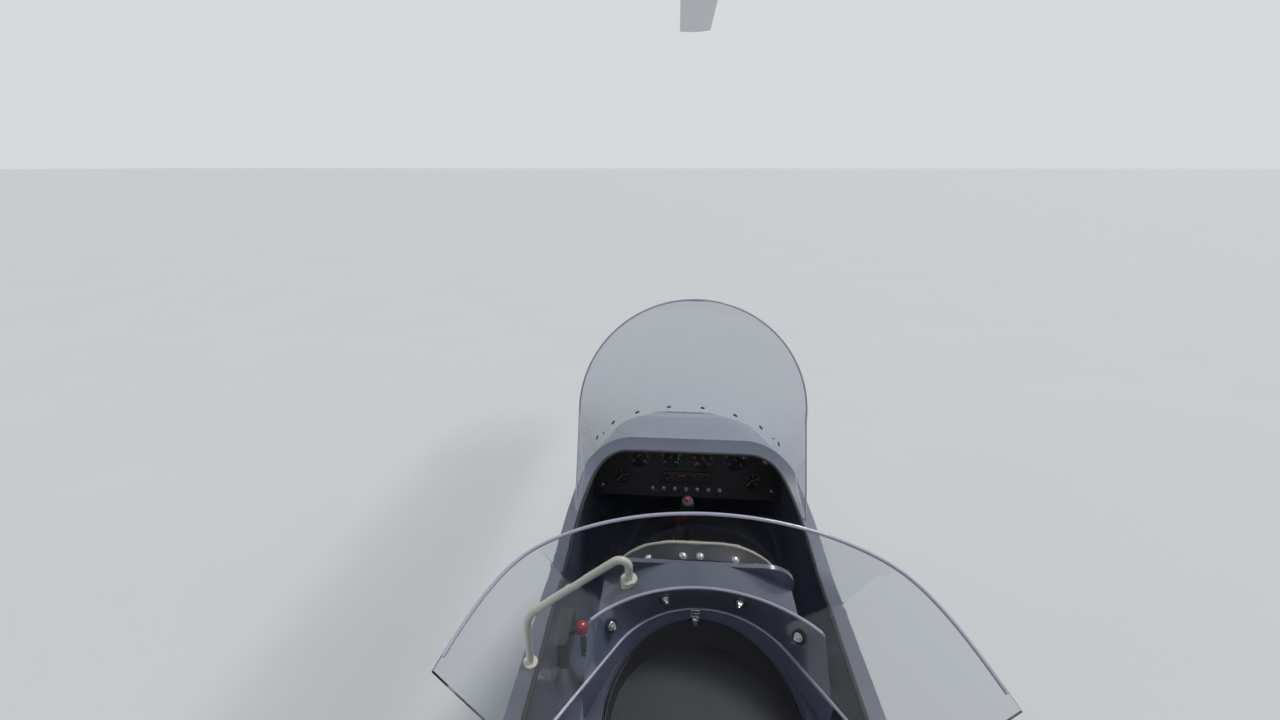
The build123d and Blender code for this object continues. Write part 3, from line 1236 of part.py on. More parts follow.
# Tailplane: flat below, arched above
with BuildPart() as tailplane:
    with BuildSketch(Plane.YZ):
        with BuildLine():
            lead = TAILPLANE_LEADING
            trail = TAILPLANE_TRAILING
            low = TAIL_BEAM_TOP
            high = low + TAILPLANE_THICKNESS
            Line((trail, low), (lead - 12, low))
            ThreePointArc((lead - 12, low), (lead, low + 12), (lead - 12, low + 24))
            ThreePointArc((lead - 12, low + 24), (lead - 160, high), (trail, low + 4))
            Line((trail, low + 4), (trail, low))
        make_face()
    extrude(amount=TAIL_HALF_SPAN, both=True)
save(tailplane.part, "tailplane")

with BuildPart() as side_fins:
    for side in (-1, 1):
        with BuildSketch(Plane.YZ.offset(side * TAIL_HALF_SPAN)) as plate:
            with BuildLine():
                Polyline(*SIDE_FIN_OUTLINE, close=True)
            make_face()
            fillet(plate.vertices(), 30)
        extrude(plate.sketch, amount=side * SIDE_FIN_THICKNESS)
    fillet(side_fins.faces().sort_by(Axis.X)[0].edges(), 5)
    fillet(side_fins.faces().sort_by(Axis.X)[-1].edges(), 5)
save(side_fins.part, "side_fins")


def fin_section(z, lead, thickness):
    """Fin outline in plan at height z, from its round nose to its flat rear edge."""
    rear = HINGE_Y + RUDDER_NOSE + RUDDER_GAP
    half = thickness / 2
    widest = lead - 0.35 * (lead - rear)
    with BuildSketch(Plane.XY.offset(z)) as outline:
        with BuildLine():
            ThreePointArc((-5, lead - 4), (0, lead), (5, lead - 4))
            ThreePointArc((5, lead - 4), (half, widest), (RUDDER_NOSE, rear))
            Line((RUDDER_NOSE, rear), (-RUDDER_NOSE, rear))
            ThreePointArc((-RUDDER_NOSE, rear), (-half, widest), (-5, lead - 4))
        make_face()
    return outline.sketch


def rudder_section(z, trail):
    """Rudder outline in plan at height z, round at the hinge and thin at its rear edge."""
    with BuildSketch(Plane.XY.offset(z)) as outline:
        with BuildLine():
            ThreePointArc((-RUDDER_NOSE, HINGE_Y), (0, HINGE_Y + RUDDER_NOSE), (RUDDER_NOSE, HINGE_Y))
            Polyline((RUDDER_NOSE, HINGE_Y), (2, trail), (-2, trail), (-RUDDER_NOSE, HINGE_Y))
        make_face()
    return outline.sketch


with BuildPart() as central_fin:
    loft([
        fin_section(TAIL_BEAM_TOP, FIN_FOOT_LEADING, FIN_FOOT_THICKNESS),
        fin_section(FIN_TOP, FIN_TIP_LEADING, FIN_TIP_THICKNESS),
    ])
    add(tailplane.part, mode=Mode.SUBTRACT)
    for z in RUDDER_HINGES:
        with BuildSketch(Plane.XY.offset(z - LUG_THICKNESS / 2)) as lug:
            with Locations((0, HINGE_Y)):
                Circle(10)
            with Locations((0, HINGE_Y + 20)):
                Rectangle(20, 40)
        extrude(lug.sketch, amount=LUG_THICKNESS)
        tube((0, HINGE_Y, z - 20), (0, HINGE_Y, z + 20), RUDDER_PIN_RADIUS + PIN_GAP, mode=Mode.SUBTRACT)
save(central_fin.part, "central_fin")

with BuildPart() as rudder:
    loft([
        rudder_section(RUDDER_LOW, RUDDER_FOOT_TRAILING),
        rudder_section(RUDDER_TOP, RUDDER_TIP_TRAILING),
    ])
    for z in RUDDER_HINGES:
        block((-30, 30), (HINGE_Y - 18, HINGE_Y + 30), (z - LUG_THICKNESS, z + LUG_THICKNESS), mode=Mode.SUBTRACT)
        tube((0, HINGE_Y, z - LUG_THICKNESS - 1), (0, HINGE_Y, z + LUG_THICKNESS + 1), RUDDER_PIN_RADIUS)
save(rudder.part, "rudder")
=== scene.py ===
"""Looks of the open two-seat gyrocopter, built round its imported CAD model.

Metres, +X to the right, +Y forward, +Z up. The origin is on the ground below the rotor's centre.
"""

import json
import random
from math import atan2, cos, pi, radians, sin, tan

import bmesh
import bpy
import numpy as np
from mathutils import Matrix, Vector
from mathutils.bvhtree import BVHTree


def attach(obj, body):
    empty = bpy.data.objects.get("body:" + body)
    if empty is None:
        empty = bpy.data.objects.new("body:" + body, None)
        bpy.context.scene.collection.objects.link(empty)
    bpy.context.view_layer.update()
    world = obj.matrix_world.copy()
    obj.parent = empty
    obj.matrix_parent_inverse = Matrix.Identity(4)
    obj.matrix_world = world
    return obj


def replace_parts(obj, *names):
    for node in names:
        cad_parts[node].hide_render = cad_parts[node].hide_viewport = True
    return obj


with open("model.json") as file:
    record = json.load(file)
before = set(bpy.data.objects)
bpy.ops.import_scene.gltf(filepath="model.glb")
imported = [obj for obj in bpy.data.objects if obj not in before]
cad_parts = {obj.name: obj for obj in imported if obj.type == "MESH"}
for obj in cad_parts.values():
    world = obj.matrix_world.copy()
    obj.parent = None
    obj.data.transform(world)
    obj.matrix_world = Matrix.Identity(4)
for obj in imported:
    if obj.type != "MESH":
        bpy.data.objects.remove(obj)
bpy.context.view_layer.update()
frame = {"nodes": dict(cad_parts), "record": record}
nodes = frame["nodes"]
draw = random.Random(7)
X, Y, Z = Vector((1, 0, 0)), Vector((0, 1, 0)), Vector((0, 0, 1))
SIDES = (-1, 1)

# Camera above and behind the rear seat, looking forward and down over the front seat
CAMERA_PLACE = Vector((-0.053, 0.330, 1.720))
CAMERA_DOWN = radians(21.3)
CAMERA_LEFT = radians(4.0)
CAMERA_LENS = 14.06

scene = bpy.context.scene
camera = bpy.data.objects.new("camera", bpy.data.cameras.new("camera"))
scene.collection.objects.link(camera)
camera.data.lens = CAMERA_LENS
camera.data.sensor_width = 36
camera.data.clip_start = 0.02
camera.location = CAMERA_PLACE
heading = Vector((-sin(CAMERA_LEFT), cos(CAMERA_LEFT), 0)) * cos(CAMERA_DOWN)
camera.rotation_mode = "QUATERNION"
camera.rotation_quaternion = (heading - Z * sin(CAMERA_DOWN)).to_track_quat("-Z", "Y")
scene.camera = camera
scene.view_settings.view_transform = "Standard"


# Materials


def add_node(tree, kind, inputs=(), **settings):
    """A shader node with its settings, and each input set to a number or linked to a socket."""
    made = tree.nodes.new(kind)
    for key, value in settings.items():
        setattr(made, key, value)
    for key, value in dict(inputs).items():
        if isinstance(value, bpy.types.NodeSocket):
            tree.links.new(value, made.inputs[key])
        else:
            made.inputs[key].default_value = value
    return made


def start_material(name):
    """A new material with its node tree, shader and object coordinates."""
    material = bpy.data.materials.new(name)
    material.use_nodes = True
    tree = material.node_tree
    place = add_node(tree, "ShaderNodeTexCoord").outputs["Object"]
    return material, tree, tree.nodes["Principled BSDF"], place


def noise(tree, vector, scale, detail=3.0, roughness=0.5):
    values = {"Vector": vector, "Scale": scale, "Detail": detail, "Roughness": roughness}
    return add_node(tree, "ShaderNodeTexNoise", values).outputs["Fac"]


def remap(tree, value, low, high, to_low, to_high):
    values = {"Value": value, "From Min": low, "From Max": high, "To Min": to_low, "To Max": to_high}
    return add_node(tree, "ShaderNodeMapRange", values).outputs["Result"]


def mapped(tree, place, **values):
    return add_node(tree, "ShaderNodeMapping", {"Vector": place, **values}).outputs["Vector"]


def mix_colour(tree, factor, a, b):
    sides = {k: v if isinstance(v, bpy.types.NodeSocket) else (*v, 1) for k, v in ((6, a), (7, b))}
    return add_node(tree, "ShaderNodeMix", {"Factor": factor, **sides}, data_type="RGBA").outputs[2]


def maths(tree, operation, a, b=0.0):
    return add_node(tree, "ShaderNodeMath", {0: a, 1: b}, operation=operation).outputs[0]


def times(tree, a, b):
    return maths(tree, "MULTIPLY", a, b)


def scaled(colour, factor, lift=0.0):
    return [min(1.0, c * factor + lift) for c in colour]


def edge_mask(tree, radius):
    """About 1 along sharp edges and 0 on flat faces."""
    rounded = add_node(tree, "ShaderNodeBevel", {"Radius": radius}, samples=4).outputs["Normal"]
    plain = add_node(tree, "ShaderNodeNewGeometry").outputs["Normal"]
    product = add_node(tree, "ShaderNodeVectorMath", {0: rounded, 1: plain}, operation="DOT_PRODUCT")
    return remap(tree, product.outputs["Value"], 0.995, 0.86, 0.0, 1.0)


def wire(tree, shader, colour, gloss, height=None, depth=0.0, strength=1.0):
    """Links colour, gloss and fine relief to a shader."""
    tree.links.new(colour, shader.inputs["Base Color"])
    tree.links.new(gloss, shader.inputs["Roughness"])
    if height is not None:
        values = {"Strength": strength, "Distance": depth, "Height": height}
        tree.links.new(add_node(tree, "ShaderNodeBump", values).outputs["Normal"], shader.inputs["Normal"])


def finish(
    name, colour, roughness, metallic=0.0, spread=0.08, cloud=4.0, stretch=(1, 1, 1), grain=300.0,
    depth=0.00004, coat=0.0, worn=None, dusty=0.0,
):
    """Coat of paint, bare metal or moulded plastic: cloudy colour, uneven gloss, fine grain, worn edges."""
    material, tree, shader, place = start_material(name)
    clouds = noise(tree, place, cloud, 4.0)
    fine = noise(tree, mapped(tree, place, Scale=stretch), grain, 2.0)
    shade = mix_colour(tree, clouds, [c * (1 - spread) for c in colour], scaled(colour, 1 + spread))
    shade = mix_colour(tree, times(tree, fine, 0.5), shade, [c * (1 - 2 * spread) for c in colour])
    gloss = remap(tree, clouds, 0.3, 0.7, roughness - 0.04, roughness + 0.04)
    if worn:
        chips = remap(tree, noise(tree, place, 90.0, 4.0), 0.5, 0.62, 0.0, 1.0)
        rubbed = times(tree, edge_mask(tree, 0.0014), chips)
        shade = mix_colour(tree, rubbed, shade, worn)
        gloss = maths(tree, "ADD", gloss, times(tree, rubbed, 0.15))
    if dusty:
        normal = add_node(tree, "ShaderNodeNewGeometry").outputs["Normal"]
        up = add_node(tree, "ShaderNodeSeparateXYZ", {0: normal}).outputs["Z"]
        film = times(tree, remap(tree, up, 0.2, 1.0, 0.0, dusty), noise(tree, place, 14.0, 5.0))
        shade = mix_colour(tree, film, shade, (0.42, 0.39, 0.33))
        gloss = maths(tree, "ADD", gloss, times(tree, film, 0.5))
    wire(tree, shader, shade, gloss, fine, depth)
    shader.inputs["Metallic"].default_value = metallic
    shader.inputs["Coat Weight"].default_value = coat
    shader.inputs["Coat Roughness"].default_value = 0.06
    return material


def clear_sheet(name, tint, gloss):
    """Clear bent sheet with fine wiping marks, which lets the lamps through."""
    material, tree, shader, place = start_material(name)
    smears = noise(tree, place, 9.0, 5.0, 0.6)
    marks = noise(tree, mapped(tree, place, Scale=(2, 6, 0.4)), 160.0)
    colour = mix_colour(tree, smears, tint, [c * 0.96 for c in tint])
    wire(tree, shader, colour, remap(tree, smears, 0.35, 0.75, gloss, gloss + 0.03), marks, 0.00001, 0.3)
    shader.inputs["Transmission Weight"].default_value = 1.0
    shader.inputs["IOR"].default_value = 1.45
    lamps = add_node(tree, "ShaderNodeLightPath").outputs["Is Shadow Ray"]
    through = add_node(tree, "ShaderNodeBsdfTransparent", {"Color": (0.86, 0.88, 0.9, 1)})
    both = add_node(tree, "ShaderNodeMixShader", {0: lamps, 1: shader.outputs[0], 2: through.outputs[0]})
    tree.links.new(both.outputs[0], tree.nodes["Material Output"].inputs["Surface"])
    return material


def woven(name, colour, thread):
    """Woven cloth, its threads along X and Y."""
    material, tree, shader, place = start_material(name)
    values = {"Vector": mapped(tree, place), "Scale": 1 / thread / 6.28, "Distortion": 0.6}
    values["Detail Scale"] = 2.0
    waves = [
        add_node(tree, "ShaderNodeTexWave", values, wave_type="BANDS", bands_direction=way).outputs["Fac"]
        for way in ("X", "Y")
    ]
    threads = times(tree, *waves)
    fade = noise(tree, place, 7.0, 5.0)
    shade = mix_colour(tree, threads, scaled(colour, 0.62), scaled(colour, 1.35))
    shade = mix_colour(tree, times(tree, fade, 0.45), shade, scaled(colour, 1.5, 0.012))
    height = maths(tree, "ADD", threads, times(tree, noise(tree, place, 900.0, 2.0), 0.35))
    wire(tree, shader, shade, remap(tree, fade, 0.3, 0.7, 0.78, 0.92), height, 0.0005, 0.8)
    shader.inputs["Sheen Weight"].default_value = 0.3
    shader.inputs["Sheen Roughness"].default_value = 0.4
    return material


def grained(name, colour, roughness, cell, depth):
    """Leather-like or textured moulding: rounded cells with creases between them."""
    material, tree, shader, place = start_material(name)
    values = {"Vector": place, "Scale": 1 / cell, "Randomness": 0.9}
    cells = add_node(tree, "ShaderNodeTexVoronoi", values, feature="DISTANCE_TO_EDGE").outputs["Distance"]
    crease = remap(tree, cells, 0.0, 0.14, 0.0, 1.0)
    patches = noise(tree, place, 12.0, 5.0)
    shade = mix_colour(tree, crease, [c * 0.55 for c in colour], colour)
    shade = mix_colour(tree, times(tree, patches, 0.5), shade, scaled(colour, 1.45, 0.006))
    gloss = remap(tree, patches, 0.3, 0.7, roughness - 0.06, roughness + 0.06)
    wire(tree, shader, shade, gloss, crease, depth, 0.7)
    return material


def heated_steel(name):
    """Stainless pipe, straw and blue near the heads and sooty towards the tail pipe."""
    material, tree, shader, place = start_material(name)
    height = add_node(tree, "ShaderNodeSeparateXYZ", {0: place}).outputs["Z"]
    wander = maths(tree, "ADD", height, times(tree, noise(tree, place, 18.0, 4.0), 0.08))
    ramp = add_node(tree, "ShaderNodeValToRGB", {"Fac": remap(tree, wander, 0.72, 1.2, 0.0, 1.0)})
    stops = ramp.color_ramp.elements
    stops[0].color = (0.30, 0.28, 0.26, 1)
    stops[1].color = (0.22, 0.25, 0.36, 1)
    for at, colour in ((0.3, (0.42, 0.40, 0.37)), (0.6, (0.47, 0.36, 0.22)), (0.8, (0.33, 0.22, 0.2))):
        stops.new(at).color = (*colour, 1)
    spots = noise(tree, place, 160.0, 3.0)
    wire(tree, shader, ramp.outputs["Color"], remap(tree, spots, 0.3, 0.7, 0.28, 0.5), spots, 0.0001, 0.5)
    shader.inputs["Metallic"].default_value = 1.0
    return material


def plies(name, colour):
    """Laminated black fibre under clear lacquer, with its diagonal twill."""
    material, tree, shader, place = start_material(name)
    turned = mapped(tree, place, Rotation=(0, radians(45), radians(20)))
    check = add_node(tree, "ShaderNodeTexChecker", {"Vector": turned, "Scale": 260.0}).outputs["Fac"]
    patches = noise(tree, place, 10.0, 4.0)
    shade = mix_colour(tree, check, colour, [c * 2.2 for c in colour])
    shade = mix_colour(tree, times(tree, patches, 0.4), shade, (0.035, 0.035, 0.038))
    wire(tree, shader, shade, remap(tree, patches, 0.3, 0.7, 0.22, 0.34))
    shader.inputs["Coat Weight"].default_value = 0.7
    shader.inputs["Coat Roughness"].default_value = 0.05
    return material


# Colours of paint worn through at the edges, and settings of drawn or rolled metal
GREY_WORN = (0.35, 0.35, 0.36)
DARK_WORN = (0.2, 0.2, 0.2)
DRAWN = {"metallic": 1.0, "spread": 0.05, "depth": 0.00001}
looks = {
    "slate_shell": finish(
        "slate_shell", (0.107, 0.119, 0.171), 0.30, spread=0.05, grain=420, depth=0.00002, coat=0.5,
        dusty=0.16,
    ),
    "beam_paint": finish("beam_paint", (0.1, 0.105, 0.12), 0.42, spread=0.07, worn=GREY_WORN, dusty=0.2),
    "black_paint": finish("black_paint", (0.03, 0.03, 0.035), 0.42, spread=0.12, worn=DARK_WORN, dusty=0.12),
    "bright_steel": finish(
        "bright_steel", (0.62, 0.62, 0.64), 0.27, stretch=(1, 1, 0.04), grain=900, **DRAWN
    ),
    "alloy": finish("alloy", (0.72, 0.73, 0.75), 0.34, stretch=(0.05, 1, 1), grain=800, **DRAWN),
    "cast_alloy": finish("cast_alloy", (0.48, 0.49, 0.51), 0.5, 1.0, spread=0.1, grain=700, depth=0.00015),
    "clear_sheet": clear_sheet("clear_sheet", (0.80, 0.83, 0.86), 0.015),
    "cushion_cloth": woven("cushion_cloth", (0.035, 0.035, 0.04), 0.0022),
    "black_plastic": grained("black_plastic", (0.03, 0.03, 0.032), 0.55, 0.0022, 0.00012),
    "rubber": grained("rubber", (0.02, 0.02, 0.02), 0.72, 0.003, 0.0001),
    "tyre_rubber": finish(
        "tyre_rubber", (0.025, 0.025, 0.025), 0.78, spread=0.2, cloud=22.0, grain=500, depth=0.0001,
        dusty=0.35,
    ),
    "cream_tube": finish("cream_tube", (0.80, 0.76, 0.62), 0.3, spread=0.05, cloud=12.0, coat=0.4),
    "lamp_glass": clear_sheet("lamp_glass", (0.9, 0.92, 0.94), 0.03),
    "exhaust_steel": heated_steel("exhaust_steel"),
    "blade_alloy": finish(
        "blade_alloy", (0.62, 0.63, 0.65), 0.36, 1.0, spread=0.04, cloud=1.5, stretch=(1, 0.02, 1), grain=900,
        depth=0.00001,
    ),
    "prop_black": plies("prop_black", (0.012, 0.012, 0.013)),
}
for row in frame["record"]["subparts"]:
    for material_slot in nodes[row["node"]].material_slots:
        material_slot.material = looks[row["material_slot"]]


# Floor, world and lamps

FLOOR_SIZE = 600.0
floor_material, floor_tree, floor_shader, floor_place = start_material("floor")
floor_cloud = noise(floor_tree, floor_place, 1.3, 4.0)
floor_shade = mix_colour(floor_tree, floor_cloud, (0.66, 0.66, 0.65), (0.70, 0.70, 0.685))
floor_tree.links.new(floor_shade, floor_shader.inputs["Base Color"])
floor_shader.inputs["Roughness"].default_value = 0.85
bpy.ops.mesh.primitive_plane_add(size=FLOOR_SIZE, location=(0, 0, 0))
floor = bpy.context.object
floor.name = "floor"
floor.data.materials.append(floor_material)

world = bpy.data.worlds.new("world")
scene.world = world
world.use_nodes = True
sky_tree = world.node_tree
sky = sky_tree.nodes["Background"]
sky.inputs["Color"].default_value = (0.86, 0.9, 1.0, 1)
sky.inputs["Strength"].default_value = 0.50
pale = add_node(sky_tree, "ShaderNodeBackground", {"Color": (0.68, 0.69, 0.70, 1), "Strength": 1.0})
path = add_node(sky_tree, "ShaderNodeLightPath")
seen = maths(sky_tree, "MAXIMUM", path.outputs["Is Camera Ray"], path.outputs["Is Transmission Ray"])
seen = maths(sky_tree, "MAXIMUM", seen, times(sky_tree, path.outputs["Is Glossy Ray"], 0.7))
blend_sky = add_node(sky_tree, "ShaderNodeMixShader", {0: seen, 1: sky.outputs[0], 2: pale.outputs[0]})
sky_tree.links.new(blend_sky.outputs[0], sky_tree.nodes["World Output"].inputs["Surface"])

sun = bpy.data.objects.new("sun", bpy.data.lights.new("sun", "SUN"))
scene.collection.objects.link(sun)
sun.data.energy = 1.5
sun.data.angle = radians(14)
sun.rotation_mode = "QUATERNION"
sun.rotation_quaternion = (-Vector((0.42, 0.30, 0.86))).to_track_quat("-Z", "Y")


# Shape builders


def disc(low, radius, shoulder, top, crown):
    """Profile of a disc from low to top, its edge eased from the shoulder up to the crown's radius."""
    return [(low, 0), (low, radius), (shoulder, radius), (top, crown), (top, 0)]


class Shape:
    """Collects solids into one mesh, each in its place in the row frame."""

    def __init__(self):
        self.mesh = bmesh.new()

    def lathe(self, centre, axis, profile, sides=24, turn=0.0):
        """A turned solid about an axis, from (distance along it, radius) pairs."""
        centre, axis = Vector(centre), Vector(axis).normalized()
        turned = axis.to_track_quat("Z", "Y").to_matrix()
        angles = [turn + 2 * pi * i / sides for i in range(sides)]
        rings = []
        for along, radius in profile:
            if radius < 1e-6:
                rings.append([self.mesh.verts.new(centre + axis * along)])
                continue
            round_points = [Vector((radius * cos(a), radius * sin(a), along)) for a in angles]
            rings.append([self.mesh.verts.new(centre + turned @ p) for p in round_points])
        for low, high in zip(rings, rings[1:]):
            for i in range(sides):
                j = (i + 1) % sides
                ring = [low[i % len(low)], low[j % len(low)], high[j % len(high)], high[i % len(high)]]
                face = list(dict.fromkeys(ring))
                if len(face) > 2:
                    self.mesh.faces.new(face)
        for ring, way in ((rings[0], -1), (rings[-1], 1)):
            if len(ring) > 2:
                self.mesh.faces.new(ring[::way])
        return self

    def bolt(self, place, out, radius=0.006, washer=1.9, thread=0.0):
        """Hexagon head on a washer, standing on a surface whose normal is out."""
        place, out = Vector(place), Vector(out).normalized()
        height = radius * 0.95
        top = height * 1.18
        rim = radius * washer
        self.lathe(place, out, disc(-0.0006, rim, 0.0008, 0.0012, rim * 0.94), 20)
        self.lathe(place, out, disc(0.0011, radius, height, top, radius * 0.84), 6, draw.uniform(0, 1))
        if thread:
            end = [(height, radius * 0.55), (height + thread, radius * 0.55), (height + thread * 1.15, 0)]
            self.lathe(place, out, end, 12)
        return self

    def screw(self, place, out, radius=0.004):
        """Low domed head with a socket in it."""
        dome = [(0.25, 0.97), (0.5, 0.7), (0.56, 0.42), (0.15, 0.38), (0.15, 0)]
        profile = [(-0.0005, 0), (-0.0005, radius)] + [(radius * a, radius * r) for a, r in dome]
        return self.lathe(place, out, profile, 14)

    def block(self, centre, size, turn=None, round_off=0.0):
        """A block with rounded edges, turned by a 3x3 matrix."""
        made = bmesh.ops.create_cube(self.mesh, size=1.0)["verts"]
        turned = (turn or Matrix.Identity(3)).to_4x4()
        placed = Matrix.Translation(centre) @ turned @ Matrix.Diagonal((*size, 1))
        bmesh.ops.transform(self.mesh, matrix=placed, verts=made)
        if round_off:
            shared = {"segments": 3, "profile": 0.5, "affect": "EDGES", "clamp_overlap": True}
            edges = list({e for v in made for e in v.link_edges})
            bmesh.ops.bevel(self.mesh, geom=edges, offset=round_off, **shared)
        return self

    def loft(self, rings, caps=True):
        """Skin over rings of points with the same count."""
        rows = [[self.mesh.verts.new(p) for p in ring] for ring in rings]
        count = len(rows[0])
        for low, high in zip(rows, rows[1:]):
            for i in range(count):
                j = (i + 1) % count
                self.mesh.faces.new([low[i], low[j], high[j], high[i]])
        if caps:
            self.mesh.faces.new(rows[0][::-1])
            self.mesh.faces.new(rows[-1])
        return self

    def done(self, name, look, slot=None, body="airframe", smooth=38.0):
        bmesh.ops.recalc_face_normals(self.mesh, faces=self.mesh.faces)
        mesh = bpy.data.meshes.new(name)
        self.mesh.to_mesh(mesh)
        self.mesh.free()
        return place_piece(name, mesh, look, body, smooth)


def place_piece(name, data, look, body="airframe", smooth=38.0):
    """Links a mesh or curve as a piece that rides on a body. look is a material, or a slot's name."""
    made = bpy.data.objects.new(name, data)
    scene.collection.objects.link(made)
    data.materials.append(looks[look] if isinstance(look, str) else look)
    if isinstance(data, bpy.types.Mesh) and smooth:
        data.shade_smooth()
        data.set_sharp_from_angle(angle=radians(smooth))
    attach(made, body)
    return made


def line_piece(name, routes, radius, look):
    """Round tubes along routes of points, as one curve."""
    curve = bpy.data.curves.new(name, "CURVE")
    curve.dimensions = "3D"
    curve.bevel_depth = radius
    curve.bevel_resolution = 3
    curve.use_fill_caps = True
    curve.resolution_u = 6
    for route in routes:
        spline = curve.splines.new("NURBS")
        spline.points.add(len(route) - 1)
        for point, place in zip(spline.points, route):
            point.co = (*place, 1)
        spline.order_u = 3
        spline.use_endpoint_u = True
    return place_piece(name, curve, look)


def tree_of(*objects):
    """Ray-casting tree over some objects' shown shapes."""
    points, faces = [], []
    graph = bpy.context.evaluated_depsgraph_get()
    for thing in objects:
        mesh = thing.evaluated_get(graph).to_mesh()
        start = len(points)
        points += [thing.matrix_world @ v.co for v in mesh.vertices]
        faces += [[start + i for i in p.vertices] for p in mesh.polygons]
    return BVHTree.FromPolygons(points, faces)


def node_tree(*names):
    """Ray-casting tree over nodes of the CAD model."""
    return tree_of(*(nodes[name] for name in names))


def touch(tree, start, way, far=3.0):
    """Where a ray from start first meets the tree's surface: (point, normal facing the start)."""
    way = Vector(way).normalized()
    point, normal, _, _ = tree.ray_cast(Vector(start), way, far)
    if point is None:
        return None
    return point, (-normal if normal.dot(way) > 0 else normal)


def touches(tree, rays):
    """The (point, normal) pairs of those rays (start, way) that meet the tree."""
    return [hit for hit in (touch(tree, start, way) for start, way in rays) if hit]


def fasten(name, tree, rays, radius=0.005, body="airframe", kind="bolt", **more):
    """Steel fasteners where rays first meet a surface, each seated square to it."""
    made = Shape()
    for point, normal in touches(tree, rays):
        getattr(made, kind)(point, normal, radius, **more)
    return made.done(name, "bright_steel", None, body)


def from_sides(places, reach=0.3):
    """Rays in from both sides, left side first, at (y, z) places."""
    return [((s * reach, y, z), -X * s) for s in SIDES for y, z in places]


def through_z(places, start, way=-1):
    """Rays down (or up, way 1) from a height at both sides, left side first, at (x, y) places."""
    return [((s * x, y, start), Z * way) for s in SIDES for x, y in places]


def grid(first, second):
    """All pairs of two lists, the first one's values slowest."""
    return [(a, b) for a in first for b in second]


def rounded_route(points, radii, steps):
    """Points along straight runs joined by tangent arcs."""
    route = [Vector(points[0])]
    for before, corner, after, radius in zip(points, points[1:], points[2:], radii):
        corner = Vector(corner)
        back, on = (Vector(before) - corner).normalized(), (Vector(after) - corner).normalized()
        half = back.angle(on) / 2
        reach = radius / tan(half)
        middle = corner + (back + on).normalized() * (radius / sin(half))
        start, end = corner + back * reach - middle, corner + on * reach - middle
        first, final = start.normalized(), end.normalized()
        route += [middle + first.slerp(final, i / steps).normalized() * radius for i in range(steps + 1)]
    return route + [Vector(points[-1])]


def at_angle(centre, radius, degrees, across, up):
    """A point on a circle, turned from the across direction towards up."""
    angle = radians(degrees)
    return Vector(centre) + Vector(across) * (radius * cos(angle)) + Vector(up) * (radius * sin(angle))


def arc_points(centre, radius, start, end, steps):
    """Points (a, b) round a circle between two angles in degrees."""
    angles = [radians(start + (end - start) * i / steps) for i in range(steps + 1)]
    return [(centre[0] + radius * cos(a), centre[1] + radius * sin(a)) for a in angles]


def turn_to(*axes):
    """The rotation that takes X, Y and Z to three axes."""
    return Matrix(axes).transposed()


def spread_between(low, high, count):
    """count values from low to high, both included."""
    return [low + (high - low) * i / (count - 1) for i in range(count)]


# Looks of details that no node of the CAD model has
# Cream for the front seat's stitches and the flap's piping; on the flap it is partly a painted reflection
piping_look = grained("cream_piping", (0.62, 0.58, 0.47), 0.5, 0.0012, 0.00004)
seat_vinyl = grained("seat_vinyl", (0.022, 0.022, 0.026), 0.48, 0.0028, 0.00018)
webbing = woven("webbing", (0.018, 0.02, 0.03), 0.0011)
chrome = finish("chrome", (0.78, 0.78, 0.8), 0.12, 1.0, spread=0.03, grain=500, depth=0.000008)
red_knob = finish("red_knob", (0.42, 0.012, 0.02), 0.25, spread=0.1, coat=0.5)
dial_black = finish("dial_black", (0.012, 0.012, 0.014), 0.5, spread=0.2)
mark_white = finish("mark_white", (0.75, 0.75, 0.72), 0.5, spread=0.05)
# Pale lavender for the screens' cut edges and the flange's top: a painted highlight where these edges catch
# the light
painted_edge_highlight = finish(
    "painted_edge_highlight", (0.50, 0.48, 0.58), 0.22, spread=0.1, cloud=9.0, grain=600, depth=0.00001, coat=0.6
)
signal_orange = finish("signal_orange", (0.75, 0.16, 0.02), 0.45, spread=0.06)

# Wheels
AXLE_Z = 0.2
WHEELS = [("nose", (0, 1.690), 0), ("left", (-0.830, -0.300), -1), ("right", (0.830, -0.300), 1)]
TREAD_GROOVES = [(-0.030, 0.0035), (-0.011, 0.004), (0.011, 0.004), (0.030, 0.0035)]
TREAD_HALF = 0.038
TYRE_COLUMNS = 144
HUB_RING = [
    (-0.002, 0.02), (-0.002, 0.031), (0.003, 0.0315), (0.005, 0.03), (0.005, 0.0215), (-0.0015, 0.0205),
]
# (offset, radius) from the bead up the wall to the tread's shoulder
TYRE_WALL = [
    (0.036, 0.1004), (0.036, 0.1122), (0.0435, 0.1125), (0.0468, 0.1205), (0.0488, 0.132), (0.0494, 0.1335),
    (0.0497, 0.146), (0.0497, 0.1475), (0.0492, 0.1490), (0.0488, 0.160), (0.0465, 0.172), (0.0428, 0.182),
    (0.0398, 0.1868),
]


def tread_radius(offset):
    """Tyre's outer radius at a distance from its middle plane, with grooves cut round it."""
    crown = 0.2 - 0.012 * (offset / TREAD_HALF) ** 2
    grooved = any(abs(offset - middle) < width / 2 for middle, width in TREAD_GROOVES)
    return crown - 0.005 if grooved else crown


def tyre_section():
    """Closed (offset, radius) outline of the tyre, from one bead over the tread to the other."""
    crossings = {TREAD_HALF, 0.036} | {i * 0.004 for i in range(-8, 9)}
    for middle, width in TREAD_GROOVES:
        ends = (-width / 2, width / 2)
        crossings |= {middle + end + d for end in ends for d in (-4e-4, 4e-4)}
    top = sorted((c for c in crossings | {-c for c in crossings} if abs(c) <= TREAD_HALF), reverse=True)
    return TYRE_WALL + [(c, tread_radius(c)) for c in top] + [(-a, r) for a, r in TYRE_WALL[::-1]]


